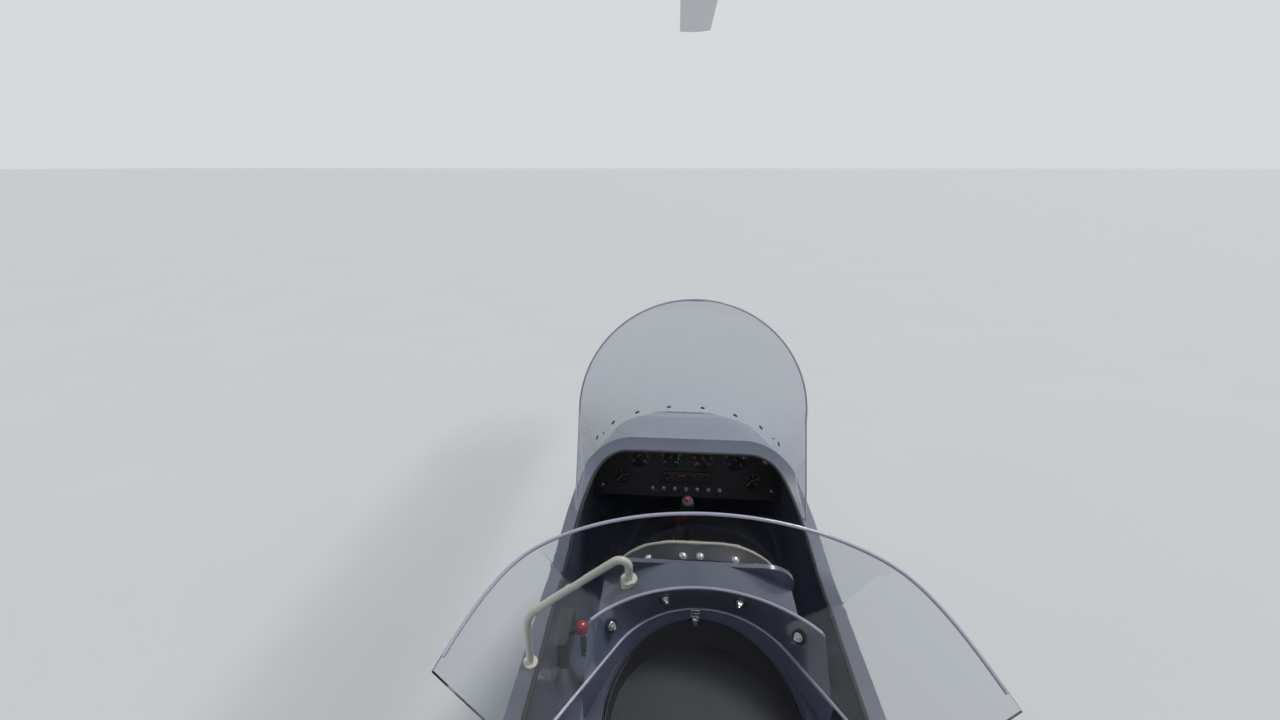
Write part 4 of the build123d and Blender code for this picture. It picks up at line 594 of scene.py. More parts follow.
for name, (x, y), outboard in WHEELS:
    body = f"{name}_wheel"
    section = tyre_section()
    rings = []
    for i in range(TYRE_COLUMNS):
        angle = 2 * pi * i / TYRE_COLUMNS
        notch = 0.003 if i % 4 == 0 else 0.0
        ring = []
        for offset, radius in section:
            shown = radius - (notch if 0.0325 < abs(offset) < 0.0405 and radius > 0.17 else 0.0)
            ring.append((x + offset, y + shown * cos(angle), AXLE_Z + shown * sin(angle)))
        rings.append(ring)
    tyre = Shape().loft(rings + [rings[0]], caps=False)
    bmesh.ops.remove_doubles(tyre.mesh, verts=tyre.mesh.verts, dist=1e-6)
    tyre = tyre.done(f"{name}_tyre_tread", "tyre_rubber", None, body, 30)
    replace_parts(tyre, f"{name}_tyre")
    # Bolt rings, valve and hub ring
    fittings = Shape()
    for side in SIDES:
        for k in range(6):
            place = at_angle((x + side * 0.005, y, AXLE_Z), 0.044, 60 * k + 30, Y, Z)
            fittings.bolt(place, X * side, 0.0045)
    valve = at_angle((x - 0.02, y, AXLE_Z), 0.094, 80, Y, Z)
    stem = [(0, 0.0035), (0.022, 0.0035), (0.022, 0.0045), (0.032, 0.0042), (0.034, 0)]
    fittings.lathe(valve, X * (outboard or 1) - Z * 0.5, stem, 12)
    fittings.done(f"{name}_wheel_fittings", "bright_steel", None, body)
    if outboard:
        cap = Shape().lathe((x + outboard * 0.045, y, AXLE_Z), X * outboard, HUB_RING, 32)
        cap.done(f"{name}_hub_ring", "alloy", None, body)

# Seats: four padded cushions, swelled by cloth simulation
ARCH = 0.125
# (y, z) of the corner where each shell's pan meets its back, the back's tilt and the pads' half width
SEATS = {"front": ((1.150, 0.490), 102.2, 0.158), "rear": ((0.250, 0.560), 100.0, 0.188)}
PAN_TILT = 8.0
# (seat, piece, node, low and high end, upper corners' radius, panels)
PADS = [
    ("front", "seat_pad", "cushion", (0.060, 0.420), 0.040, 5),
    ("front", "back_pad", "backrest", (0.064, 0.598), ARCH, 7),
    ("rear", "seat_pad", "cushion", (0.060, 0.420), 0.040, 5),
    ("rear", "back_pad", "backrest", (0.064, 0.554), 0.060, 6),
]
# (height over the shell, way in from the outline) of a pad's layers before it is filled
PAD_LAYERS = [
    (0.002, 0.012), (0.007, 0.006), (0.016, 0.003), (0.030, 0.003), (0.038, 0.008), (0.042, 0.016),
]
PAD_GRID = 0.006
PAD_SWELL = 0.006
FILL_STEPS = 20
# Below this height over the shell a pad stays flat, and so far inside it lies its sewn seam
PAD_BACK = 0.022
SEAM_INSET = 0.036


def swell(pad, cap):
    """Blows a closed mesh up like a filled cover; no point moves further than cap."""
    before = [v.co.copy() for v in pad.data.vertices]
    cloth = pad.modifiers.new("cloth", "CLOTH")
    cloth.settings.use_pressure = True
    cloth.settings.uniform_pressure_force = 4.0
    cloth.settings.effector_weights.gravity = 0.0
    cloth.settings.quality = 5
    for step in range(1, FILL_STEPS + 1):
        scene.frame_set(step)
    shown = pad.evaluated_get(bpy.context.evaluated_depsgraph_get())
    after = [v.co.copy() for v in shown.data.vertices]
    pad.modifiers.remove(cloth)
    scene.frame_set(1)
    for vertex, old, new in zip(pad.data.vertices, before, after):
        move = new - old
        vertex.co = old + (move if move.length <= cap else move.normalized() * cap)


def apply_modifier(thing, kind, **settings):
    """Adds a modifier and keeps its result as the object's mesh."""
    modifier = thing.modifiers.new(kind.lower(), kind)
    for key, value in settings.items():
        setattr(modifier, key, value)
    shown = thing.evaluated_get(bpy.context.evaluated_depsgraph_get())
    mesh = bpy.data.meshes.new_from_object(shown)
    thing.modifiers.clear()
    old, thing.data = thing.data, mesh
    bpy.data.meshes.remove(old)


def pad_frame(corner, tilt):
    """Directions along a pad and out of its shell, and a function for (across, along, out) places."""
    along = Vector((0, cos(radians(tilt)), sin(radians(tilt))))
    out = Vector((0, -sin(radians(tilt)), cos(radians(tilt)))) * (-1 if tilt > 90 else 1)
    start = Vector((0, *corner))
    return along, out, lambda u, v, w=0.0: start + X * u + along * v + out * w


def outline(half, low, high, corner_low, corner_high, steps):
    """Rounded rectangle in (across, along)."""
    points = []
    for cx, cy, radius, start in (
        (half - corner_high, high - corner_high, corner_high, 0),
        (-half + corner_high, high - corner_high, corner_high, 90),
        (-half + corner_low, low + corner_low, corner_low, 180),
        (half - corner_low, low + corner_low, corner_low, 270),
    ):
        points += arc_points((cx, cy), radius, start, start + 90, steps)
    return points


def panel_depth(u, v, half, low, high, corner):
    """How far inside a panel with rounded upper corners a point lies; negative outside it."""
    if v > high - corner and abs(u) > half - corner:
        return corner - ((abs(u) - half + corner) ** 2 + (v - high + corner) ** 2) ** 0.5
    return min(half - abs(u), high - v, v - low)


for seat, part, node, (low, high), bend, count in PADS:
    name = f"{seat}_{part}"
    corner, tilt, half = SEATS[seat]
    along, out, on_pad = pad_frame(corner, tilt if part == "back_pad" else PAN_TILT)
    rings = []
    for lift, inset in PAD_LAYERS:
        ring = outline(half - inset, low + inset, high - inset, 0.022, max(bend - inset, 0.01), 12)
        rings.append([on_pad(u, v, lift) for u, v in ring])
    pad = Shape().loft(rings).done(name, seat_vinyl, "cushion_cloth", smooth=0)
    apply_modifier(pad, "REMESH", mode="VOXEL", voxel_size=PAD_GRID)
    swell(pad, PAD_SWELL)
    apply_modifier(pad, "SUBSURF", levels=1)
    channels = spread_between(low + 0.01, high - 0.035, count + 1)[1:-1]
    limit, top, arc = half - SEAM_INSET, high - SEAM_INSET, max(bend - SEAM_INSET, 0.01)
    for vertex in pad.data.vertices:
        offset = vertex.co - on_pad(0, 0)
        u, v, w = offset.dot(X), offset.dot(along), offset.dot(out)
        if w < PAD_BACK:
            vertex.co += out * (max(w, 0.0006) - w)
            continue
        # Sewn channels across the middle panel, and a seam round it
        inside = panel_depth(u, v, limit, low + 0.014, top, arc)
        crown = 0.0035 * min(1.0, max(0.0, inside) / 0.05)
        sink = 0.0
        if inside > 0:
            near = min(abs(v - c) for c in channels)
            sink = 0.0075 * np.exp(-((near / 0.0075) ** 2)) * min(1.0, inside / 0.008)
        seam = 0.0065 * np.exp(-((inside / 0.0055) ** 2))
        wrinkle = 0.0012 * sin(61 * u + 23 * v) * sin(37 * v - 11 * u)
        vertex.co += out * float(crown - sink - seam + wrinkle - 0.0015)
    pad.data.shade_smooth()
    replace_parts(pad, f"{seat}_{node}")
    surface = tree_of(pad)
    # Piping round the front face, and stitches beside the channels
    edge = outline(half - 0.010, low + 0.010, high - 0.010, 0.022, bend - 0.010, 14)
    route = [p + n * 0.0006 for p, n in touches(surface, [(on_pad(u, v, 0.09), -out) for u, v in edge])]
    line_piece(f"{name}_piping", [[*route, route[0]]], 0.0032, seat_vinyl)
    stitches = Shape()
    rows = [(None, c + side * 0.0095) for c in channels for side in SIDES]
    rows += [(side * (limit + 0.008), None) for side in SIDES]
    for u_fixed, v_fixed in rows:
        if u_fixed is None:
            steps = np.linspace(0, limit, 60)
            within = [u for u in steps if panel_depth(u, v_fixed, limit, low, top, arc) > 0]
            final = max(0.02, max(within) - 0.006)
            first = -final
        else:
            first, final = low + 0.03, top - arc
        number = int((final - first) / 0.0075)
        for k in range(number):
            at = [first + (final - first) * (k + d) / number for d in (0.16, 0.84)]
            places = [(s, v_fixed) if u_fixed is None else (u_fixed, s) for s in at]
            ends = touches(surface, [(on_pad(u, v, 0.09), -out) for u, v in places])
            if len(ends) == 2:
                (a, normal), (b, _) = ends
                run = (b - a).length
                thread = [(-0.0002, 0), (0, 0.0005), (run, 0.0005), (run + 0.0002, 0)]
                stitches.lathe(a + normal * 0.0001, b - a, thread, 6)
    stitches.done(f"{name}_stitches", piping_look if seat == "front" else dial_black, "cushion_cloth")

# Flap of the front seat's cover, over the backrest's top, with its press studs
along, out, on_pad = pad_frame(*SEATS["front"][:2])
FLAP_STUDS = (-0.110, -0.087, -0.026, 0.004, 0.0655, 0.105)
STUD = [
    (-0.0005, 0), (-0.0005, 0.0062), (0.0012, 0.0064), (0.0016, 0.0055), (0.0034, 0.0050), (0.0046, 0.0036),
    (0.0051, 0.0014), (0.0051, 0),
]
FLAP_HALF = 0.1600
FLAP_TOP = 0.6015
FLAP_FRONT = 0.0352
flap_line = outline(FLAP_HALF, 0.10, FLAP_TOP, 0.02, ARCH + 0.002, 24)
stations = sorted((p for p in flap_line if p[1] > 0.500), key=lambda p: atan2(p[1] - 0.4, p[0]))
dense = []
for (u0, v0), (u1, v1) in zip(stations, stations[1:]):
    pieces = max(1, int(((u1 - u0) ** 2 + (v1 - v0) ** 2) ** 0.5 / 0.010))
    dense += [(u0 + (u1 - u0) * i / pieces, v0 + (v1 - v0) * i / pieces) for i in range(pieces)]
rings = []
for u, v in [*dense, stations[-1]]:
    beyond = max(0.0, abs(u) - FLAP_HALF + ARCH) * (1 if u > 0 else -1)
    away = Vector((beyond, v - FLAP_TOP + ARCH)).normalized()
    outward = X * away.x + along * away.y
    rise = 0.0009 * sin(95 * u) * cos(31 * v)
    section = ((0.0008, 0.0), (0.012, 0.0014 + rise), (0.026, 0.0012 + rise), (0.0345, -0.0004))
    section += ((0.0345, -0.0022), (0.026, -0.0008), (0.012, -0.0006), (0.0008, -0.0016))
    rings.append([on_pad(u, v) + outward * lift + out * w for w, lift in section])
flap = Shape().loft(rings).done("front_seat_flap", seat_vinyl, "cushion_cloth", smooth=50)
flap_tree = tree_of(flap)
studs = Shape()
for x in FLAP_STUDS:
    studs.lathe(*touch(flap_tree, on_pad(x, 0.66, 0.0075), -along), STUD, 20)
studs.done("flap_studs", chrome, "bright_steel")
# (height along the back, way inward) of the edge's runs down the pad's sides
SIDE_RUN = [(0.084, -0.012), (0.098, -0.003), (0.16, -0.0015), (0.30, -0.0015), (0.46, 0.0)]
arch_line = sorted(flap_line, key=lambda p: atan2(p[1] - 0.35, p[0]))
arch_run = [on_pad(u, v, FLAP_FRONT) for u, v in arch_line if v > 0.38]
right_run, left_run = (
    [on_pad(s * (FLAP_HALF + shift), v, FLAP_FRONT + shift) for v, shift in SIDE_RUN] for s in (1, -1)
)
# Cream piping round the flap's edge. Its pale cream is partly real piping and partly a painted reflection of
# the flange's rim
line_piece("flap_piping_and_reflection", [[*right_run, *arch_run, *left_run[::-1]]], 0.003, piping_look)

# Harnesses
BELT_WIDTH = 0.044
BELT_THICK = 0.0018
# (side, height) round a belt's section, as shares of its half width and its thickness
BELT_SECTION = [
    (-1, 0.15), (-0.94, 0), (0.94, 0), (1, 0.15), (1, 0.85), (0.94, 1), (0, 1.12), (-0.94, 1), (-1, 0.85),
]
BUCKLE = [
    (0.001, 0), (0.001, 0.030), (0.004, 0.0325), (0.013, 0.0325), (0.016, 0.030), (0.0165, 0.024),
    (0.014, 0.023), (0.014, 0.0205), (0.019, 0.0195), (0.021, 0.017), (0.021, 0.0),
]


def belt(name, path):
    """Flat strap along (point, normal) pairs, laid with its underside on the points."""
    rings = []
    for (before, _), (point, normal), (after, _) in zip(path[:1] + path, path, path[1:] + path[-1:]):
        tangent = (after - before).normalized()
        side = tangent.cross(normal).normalized()
        up = side.cross(tangent).normalized()
        section = [(s * BELT_WIDTH / 2, t * BELT_THICK + 0.0004) for s, t in BELT_SECTION]
        rings.append([point + side * s + up * t for s, t in section])
    Shape().loft(rings).done(name, webbing, "cushion_cloth", smooth=50)


def smooth_path(points):
    """Denser, rounded copy of a list of (point, normal) pairs."""
    dense = []
    for (a, na), (b, nb) in zip(points, points[1:]):
        dense += [(a.lerp(b, i / 6), na.lerp(nb, i / 6).normalized()) for i in range(6)]
    dense.append(points[-1])
    for _ in range(2):
        inner = [((a + b * 2 + c) / 4, n) for (a, _), (b, n), (c, _) in zip(dense, dense[1:], dense[2:])]
        dense = [dense[0], *inner, dense[-1]]
    return dense


def laid(tree, places, out, lift):
    """(point, normal) pairs of a strap that lies on a pad, below places over it."""
    return [(point + out * lift, out) for point, _ in touches(tree, [(place, -out) for place in places])]


# Height of each seat's shoulder straps on its back, and half the distance between them
for seat, top, shoulder in (("front", 0.590, 0.080), ("rear", 0.545, 0.085)):
    corner, tilt, half = SEATS[seat]
    back_tree, pan_tree = (tree_of(bpy.data.objects[f"{seat}_{part}"]) for part in ("back_pad", "seat_pad"))
    back_along, back_out, on_back = pad_frame(corner, tilt)
    pan_along, pan_out, on_pan = pad_frame(corner, PAN_TILT)
    pan_turn = turn_to(X, pan_along, pan_out)
    buckle = touch(pan_tree, on_pan(0, 0.215, 0.2), -pan_out)[0]
    shell_edge = half + 0.012
    for side, label in zip(SIDES, ("left", "right")):
        samples = []
        if seat == "rear":
            for w, lean in ((0.004, 0.3), (0.036, 0.5)):
                normal = (back_along + back_out * lean).normalized()
                samples.append((on_back(side * shoulder, 0.566, w), normal))
        run = [i / 14 for i in range(15)]
        places = [(side * (shoulder + (0.036 - shoulder) * t), top + (0.11 - top) * t) for t in run]
        samples += laid(back_tree, [on_back(x, v, 0.2) for x, v in places], back_out, 0.0012)
        run = [i / 4 for i in range(5)]
        places = [on_pan(side * (0.034 - 0.012 * t), 0.105 + 0.082 * t, 0.2) for t in run]
        samples = smooth_path(samples + laid(pan_tree, places, pan_out, 0.0016))
        belt(f"{seat}_{label}_shoulder_belt", samples)
        beside = side * (shell_edge + 0.0035)
        lap = [(on_pan(beside, v, w), X * side) for v, w in ((0.135, -0.034), (0.137, -0.006))]
        over = on_pan(side * (shell_edge - 0.001), 0.140, 0.020)
        lap.append((over, (X * side + pan_out * 0.7).normalized()))
        run = [i / 7 for i in range(8)]
        places = [(side * (half - 0.012 + (0.040 - half + 0.012) * t), 0.145 + 0.065 * t) for t in run]
        lap += laid(pan_tree, [on_pan(x, v, 0.2) for x, v in places], pan_out, 0.0006)
        belt(f"{seat}_{label}_lap_belt", smooth_path(lap))
        anchor = Shape()
        foot = on_pan(side * (shell_edge + 0.0040), 0.132, -0.040)
        plate_turn = turn_to(pan_along, pan_out, X * side)
        anchor.block(foot + pan_out * 0.004, (0.050, 0.030, 0.003), plate_turn, 0.0014)
        anchor.lathe(foot - X * (side * 0.028), X * side, [(0, 0.007), (0.026, 0.007)], 16)
        anchor.bolt(foot + X * (side * 0.0018), X * side, 0.0065)
        anchor.done(f"{seat}_{label}_belt_anchor", "bright_steel")
        adjuster = Shape()
        spot = samples[int(len(samples) * 0.42)][0] + back_out * 0.0035
        turn = turn_to(X, back_along, back_out)
        for v in (-0.016, 0, 0.016):
            adjuster.block(spot + back_along * v, (BELT_WIDTH + 0.012, 0.005, 0.004), turn, 0.0012)
        for x in SIDES:
            adjuster.block(spot + X * (x * (BELT_WIDTH / 2 + 0.004)), (0.005, 0.037, 0.004), turn, 0.0012)
        adjuster.done(f"{seat}_{label}_adjuster", "bright_steel")
    lock = Shape().lathe(buckle, pan_out, BUCKLE, 40)
    lock.block(buckle + pan_out * 0.0225, (0.034, 0.007, 0.004), pan_turn, 0.0015)
    lock.done(f"{seat}_buckle", "black_plastic")
    tongues = Shape()
    for angle in (35, 145, 197, 343):
        way = X * cos(radians(angle)) - pan_along * sin(radians(angle))
        lane = turn_to(way, pan_out.cross(way), pan_out)
        tongues.block(buckle + way * 0.036 + pan_out * 0.0065, (0.034, 0.020, 0.0025), lane, 0.001)
    tongues.done(f"{seat}_buckle_tongues", "bright_steel")

# Screen fixings on the hood
hood_tree = node_tree("screen_hood")
rear_screen_tree = node_tree("rear_windscreen")
fixings, washers = Shape(), Shape()
for x, z in ((-0.130, 1.115), (-0.055, 1.122), (0.055, 1.122), (0.130, 1.115)):
    point, normal = touch(rear_screen_tree, (x, 0.60, z), Y)
    washers.lathe(point, normal, disc(-0.0003, 0.0095, 0.0016, 0.002, 0.009))
    fixings.bolt(point + normal * 0.0016, normal, 0.0048, 1.3, 0.004)
    for point, normal in touches(hood_tree, [((x, 1.2, z), -Y)]):
        fixings.screw(point, normal, 0.006)
post, _ = touch(hood_tree, (-0.008, 0.80, 1.062), Y)
fixings.bolt(post, -Y, 0.0062, 1.45, 0.007)
fixings.done("hood_fixings", "bright_steel")
washers.done("hood_fixing_washers", "rubber")
clip = Shape().block(post + Vector((0, -0.006, 0.0205)), (0.013, 0.012, 0.016), None, 0.003)
clip.block(post + Vector((0, -0.0015, 0.004)), (0.011, 0.0028, 0.026), None, 0.001)
clip.done("screen_clip", "clear_sheet")
# Painted highlight along the flange's top: a pale line where its edge catches the light
rim_rays = [((-0.157 + 0.314 * i / 40, 1.3, 1.1335), -Y) for i in range(41)]
rim_route = [(p.x, p.y - 0.002, 1.1362) for p, _ in touches(hood_tree, rim_rays)]
line_piece("flange_edge_highlight", [rim_route], 0.0024, painted_edge_highlight)

# Coaming: rubber edge round the opening.
# (y, half width, height, corner radius) of the tub's sections, and how far inside them the lip lies
TUB_SECTIONS = [
    (0.070, 0.285, 1.045, 0.120), (0.520, 0.322, 1.040, 0.130), (1.150, 0.326, 1.015, 0.140),
    (1.560, 0.316, 0.990, 0.150), (1.880, 0.280, 0.905, 0.145),
]
LIP_INSET = 0.034
# (y, z) of the opening's edge, seen from the side
COAMING_LINE = [
    (0.105, 1.010), (0.330, 0.905), (0.620, 0.850), (1.230, 0.840), (1.560, 0.905), (1.700, 1.100),
]
coaming = rounded_route([(0, *p) for p in COAMING_LINE], [0.120, 0.260, 0.400, 0.260], 10)


def lip_half(y, z):
    """Half the opening's width at a place on the coaming, or None beyond its front end."""
    for (y0, *low), (y1, *high) in zip(TUB_SECTIONS, TUB_SECTIONS[1:]):
        if y0 <= y <= y1:
            t = (y - y0) / (y1 - y0)
            half, top, corner = (a + (b - a) * t - LIP_INSET for a, b in zip(low, high))
            if z > top:
                return None
            over = max(0.0, z - (top - corner))
            return half - corner + (corner**2 - over**2) ** 0.5
    return None


edge_route = []
for a, b in zip(coaming, coaming[1:]):
    pieces = max(1, int((b - a).length / 0.012))
    for p in [a.lerp(b, i / pieces) for i in range(pieces)]:
        half = lip_half(p.y, p.z)
        if half:
            edge_route.append(Vector((half, p.y, p.z)))
last = edge_route[-1]
edge_route += [Vector((last.x * (1 - i / 6), last.y + 0.002, last.z + 0.001)) for i in range(1, 6)]
edge_route += [Vector((-p.x, p.y, p.z)) for p in edge_route[::-1]]
line_piece("coaming_edge", [edge_route], 0.0048, "rubber")

# Instrument panel: dial faces, needles, glasses, switches and a radio
PANEL_ORIGIN = Vector((0, 1.655, 0.740))
PANEL_LEAN = radians(15)
PANEL_UP = Vector((0, sin(PANEL_LEAN), cos(PANEL_LEAN)))
PANEL_OUT = Vector((0, -cos(PANEL_LEAN), sin(PANEL_LEAN)))
PANEL_TURN = turn_to(X, PANEL_UP, PANEL_OUT)
# (x, up, radius, numbered steps, needle's angle)
DIALS = [
    (-0.150, 0.130, 0.042, 8, 210), (-0.050, 0.130, 0.042, 10, 60), (0.050, 0.130, 0.042, 6, 300),
    (0.150, 0.130, 0.042, 5, 130), (-0.205, 0.062, 0.030, 4, 240), (0.205, 0.062, 0.030, 4, 20),
]


def on_panel(x, up, out=0.0):
    """A place on the instrument panel, or out in front of it."""
    return PANEL_ORIGIN + X * x + PANEL_UP * up + PANEL_OUT * out


def dial_way(degrees):
    """A direction in the panel's face, turned from the right towards its top."""
    return X * cos(radians(degrees)) + PANEL_UP * sin(radians(degrees))


faces, marks, needles, glasses = Shape(), Shape(), Shape(), Shape()
numerals = []
for x, up, radius, count, needle_angle in DIALS:
    inner = radius - 0.005
    rim = inner + 0.0006
    faces.lathe(on_panel(x, up), PANEL_OUT, [(-0.001, 0), (-0.001, rim), (0.0012, rim), (0.0012, 0)], 48)
    ticks = count * 5
    for i in range(ticks + 1):
        way = dial_way(225 - 270 * i / ticks)
        long, wide = (0.006, 0.0011) if i % 5 == 0 else (0.003, 0.0006)
        lane = turn_to(way, PANEL_OUT.cross(way), PANEL_OUT)
        marks.block(on_panel(x, up, 0.0014) + way * (inner - 0.002 - long / 2), (long, wide, 0.0004), lane)
    for i in range(count + 1):
        spot = on_panel(x, up, 0.0014) + dial_way(225 - 270 * i / count) * (inner - 0.0125)
        numerals.append((str(i), spot, radius * 0.2))
    way = dial_way(needle_angle)
    across = PANEL_OUT.cross(way)
    hub = on_panel(x, up, 0.003)
    tip = inner - 0.007
    corners = ((-0.008, 0.0016), (-0.008, -0.0016), (tip, -0.0003), (tip, 0.0003))
    needles.loft([[hub + way * a + across * b + PANEL_OUT * t for a, b in corners] for t in (0, 0.0005)])
    needles.lathe(hub, PANEL_OUT, [(-0.0005, 0.0035), (0.0012, 0.0033), (0.0016, 0)], 16)
    rim = inner + 0.0003
    glass = [(0, 0), (0, rim), (0.0008, rim), (0.0012, inner * 0.6), (0.0013, 0)]
    glasses.lathe(on_panel(x, up, 0.0046), PANEL_OUT, glass, 48)
faces.done("dial_faces", dial_black, "black_plastic")
marks.done("dial_marks", mark_white, "cream_tube")
needles.done("dial_needles", signal_orange, "cream_tube")
glasses.done("dial_glasses", "lamp_glass")


def lettering(name, rows, look):
    """Raised plain numerals, as one mesh: (text, place, height) on the panel."""
    joined = bmesh.new()
    for text, place, height in rows:
        curve = bpy.data.curves.new(name, "FONT")
        curve.body = text
        curve.size = height * 1.4
        curve.extrude = 0.0003
        curve.resolution_u = 2
        curve.align_x = "CENTER"
        curve.align_y = "CENTER"
        holder = bpy.data.objects.new(name, curve)
        scene.collection.objects.link(holder)
        shown = holder.evaluated_get(bpy.context.evaluated_depsgraph_get())
        mesh = bpy.data.meshes.new_from_object(shown)
        mesh.transform(Matrix.Translation(place) @ PANEL_TURN.to_4x4())
        joined.from_mesh(mesh)
        bpy.data.objects.remove(holder)
        bpy.data.curves.remove(curve)
        bpy.data.meshes.remove(mesh)
    mesh = bpy.data.meshes.new(name)
    joined.to_mesh(mesh)
    joined.free()
    place_piece(name, mesh, look, smooth=0)


lettering("dial_numerals", numerals, mark_white)

COLLAR = [(0, 0.0075), (0.0025, 0.0075), (0.0025, 0.005), (0.007, 0.0048), (0.007, 0)]
TOGGLE = [(0.004, 0.0018), (0.017, 0.0026), (0.021, 0.0026), (0.023, 0.0015), (0.0235, 0)]
PUSH_BUTTON = [(0.003, 0.0045), (0.010, 0.006), (0.012, 0.0055), (0.0125, 0)]
RADIO_KNOB = [(0, 0.0085), (0.010, 0.008), (0.0125, 0.0065), (0.0125, 0)]
switches, collars = Shape(), Shape()
for i in range(7):
    foot = on_panel(-0.105 + 0.035 * i, 0.026)
    collars.lathe(foot, PANEL_OUT, COLLAR, 6)
    tilt = (PANEL_OUT + PANEL_UP * (0.45 if i % 3 else -0.45)).normalized()
    switches.lathe(foot, tilt, TOGGLE, 14)
for x in (-0.245, 0.245):
    collars.lathe(on_panel(x, 0.125), PANEL_OUT, [(0, 0.010), (0.003, 0.010), (0.004, 0.0085), (0.004, 0)])
    switches.lathe(on_panel(x, 0.125), PANEL_OUT, PUSH_BUTTON, 18)
for x, up in grid((-0.265, 0.265), (0.030, 0.200)):
    collars.screw(on_panel(x, up), PANEL_OUT, 0.0045)
switches.done("panel_switches", chrome, "bright_steel")
collars.done("panel_collars", "bright_steel")
radio = Shape().block(on_panel(0, 0.066, 0.004), (0.150, 0.036, 0.010), PANEL_TURN, 0.003)
for x in (-0.062, 0.062):
    radio.lathe(on_panel(x, 0.066, 0.008), PANEL_OUT, RADIO_KNOB, 20)
for i in range(4):
    radio.block(on_panel(-0.024 + 0.016 * i, 0.054, 0.0098), (0.011, 0.005, 0.002), PANEL_TURN, 0.0008)
radio.done("radio", "black_plastic")
window = Shape().block(on_panel(0, 0.072, 0.0093), (0.074, 0.014, 0.0012), PANEL_TURN, 0.0005)
window.done("radio_window", dial_black, "black_plastic")
digits = [(text, on_panel(x, 0.072, 0.0101), 0.0065) for text, x in (("118.250", -0.017), ("05", 0.024))]
lettering("radio_digits", digits, signal_orange)

# Sticks with boots, finger grooves and top button, the throttle's knob, and pedal treads
STICKS = (((1.632, 0.525), (1.515, 0.830)), ((0.740, 0.358), (0.655, 0.880)))
grips, boots, buttons = Shape(), Shape(), Shape()
for foot, top in STICKS:
    foot, top = Vector((0, *foot)), Vector((0, *top))
    reach = (top - foot).normalized()
    forward = reach.cross(X).normalized()
    forward = forward if forward.y > 0 else -forward
    profile = []
    for i in range(25):
        t = i / 24
        groove = 0.0016 * abs(sin(pi * 4 * t)) if 0.1 < t < 0.85 else 0.0
        profile.append((-0.118 + 0.116 * t, 0.0172 + 0.0022 * (t < 0.05) + groove))
    grips.lathe(top, reach, [(-0.119, 0)] + profile + [(0.0005, 0.016), (0.0018, 0.012), (0.0022, 0)], 28)
    trigger = top - reach * 0.022 + forward * 0.019
    grips.block(trigger, (0.013, 0.012, 0.030), turn_to(X, forward, reach), 0.004)
    button = [(0.0015, 0.0062), (0.0055, 0.0060), (0.0070, 0.0045), (0.0074, 0)]
    buttons.lathe(top + forward * 0.004, reach, button, 18)
    folds = [(0.030, 0.0)]
    for i in range(9):
        radius = 0.044 - 0.0035 * i
        folds += [(0.030 + 0.0085 * i, radius), (0.0345 + 0.0085 * i, radius - 0.006)]
    boots.lathe(foot, reach, folds + [(0.1085, 0.0105), (0.112, 0.0095), (0.112, 0)], 28)
grips.done("stick_grips", "rubber")
boots.done("stick_boots", "rubber", smooth=60)
buttons.done("stick_buttons", red_knob, "cream_tube")

KNOB_RADIUS = 0.0188
ball = [(KNOB_RADIUS * sin(radians(a)), KNOB_RADIUS * cos(radians(a))) for a in range(-72, 90, 9)]
ball = [(-0.019, 0), *ball, (KNOB_RADIUS, 0)]
knob = Shape().lathe((-0.256, 1.211, 0.676), (0.042, -0.032, 0.062), ball, 32)
knob.done("throttle_knob", red_knob, "cream_tube")

treads, hooks = Shape(), Shape()
for x, y, z in ((0.105, 2.030, 0.500), (0.246, 1.270, 0.416)):
    for side in SIDES:
        for i in range(5):
            place = (side * x, y + 0.0065, z + 0.084 + 0.0145 * i)
            treads.block(place, (0.060, 0.005, 0.0065), None, 0.0018)
        hooks.lathe((side * x - 0.026, y, z), X, [(0, 0.006), (0.052, 0.006)], 16)
        hooks.bolt((side * (x + 0.0145), y, z - 0.004), X * side, 0.005)
treads.done("pedal_treads", "rubber")
hooks.done("pedal_pivots", "bright_steel")

# Screens: painted highlights along the cut edges, and the fixings of the front one.
# (x, z) of the rear screen's rim: a wide arc with a tighter one at each side
rim = arc_points((0.1627, 1.0749), 0.1976, 3.2, 69.5, 24)
rim += arc_points((0, 0.6402), 0.6618, 69.5, 90, 14)[1:]
rim += [(-x, z) for x, z in rim[-2::-1]]
rim_rays = [((x * 0.994, 0.30, max(z - 0.0008, 1.0875)), Y) for x, z in rim]
rim_edge = [p - n * 0.002 for p, n in touches(rear_screen_tree, rim_rays)]
foot_rays = [((x, 0.30, 1.0868), Y) for x in np.linspace(-0.356, 0.356, 121)]
foot_edge = [p - n * 0.002 - Z * 0.0008 for p, n in touches(rear_screen_tree, foot_rays)]
line_piece("rear_screen_edge_highlight", [rim_edge, foot_edge], 0.0023, painted_edge_highlight)
# The front screen is a half cylinder, laid back along its slope and cut off by a leaning plane
FRONT_RADIUS = 0.298
FRONT_TILT = radians(46.8)
FRONT_SLOPE = Vector((0, -cos(FRONT_TILT), sin(FRONT_TILT)))
FRONT_AXIS = Vector((0, 1.510, 1.090))
REAR_LEAN = 0.017 / 0.350
front_edge = []
for degrees in range(90, -91, -5):
    place = FRONT_AXIS + (X * sin(radians(degrees)) + Y * cos(radians(degrees))) * FRONT_RADIUS
    along = (place.y - 1.512 + (place.z - 1.100) * REAR_LEAN) / (-FRONT_SLOPE.y - FRONT_SLOPE.z * REAR_LEAN)
    front_edge.append(place + FRONT_SLOPE * along)
side_edges = [[(x, 1.512, 1.098), (x, 1.385, 0.842)] for x in (-FRONT_RADIUS, FRONT_RADIUS)]
# Painted highlight along the front screen's cut edges
line_piece("front_screen_edge_highlight", [front_edge, *side_edges], 0.0023, painted_edge_highlight)
front_screen_tree = node_tree("front_windscreen")
screen_screws, screen_washers = Shape(), Shape()
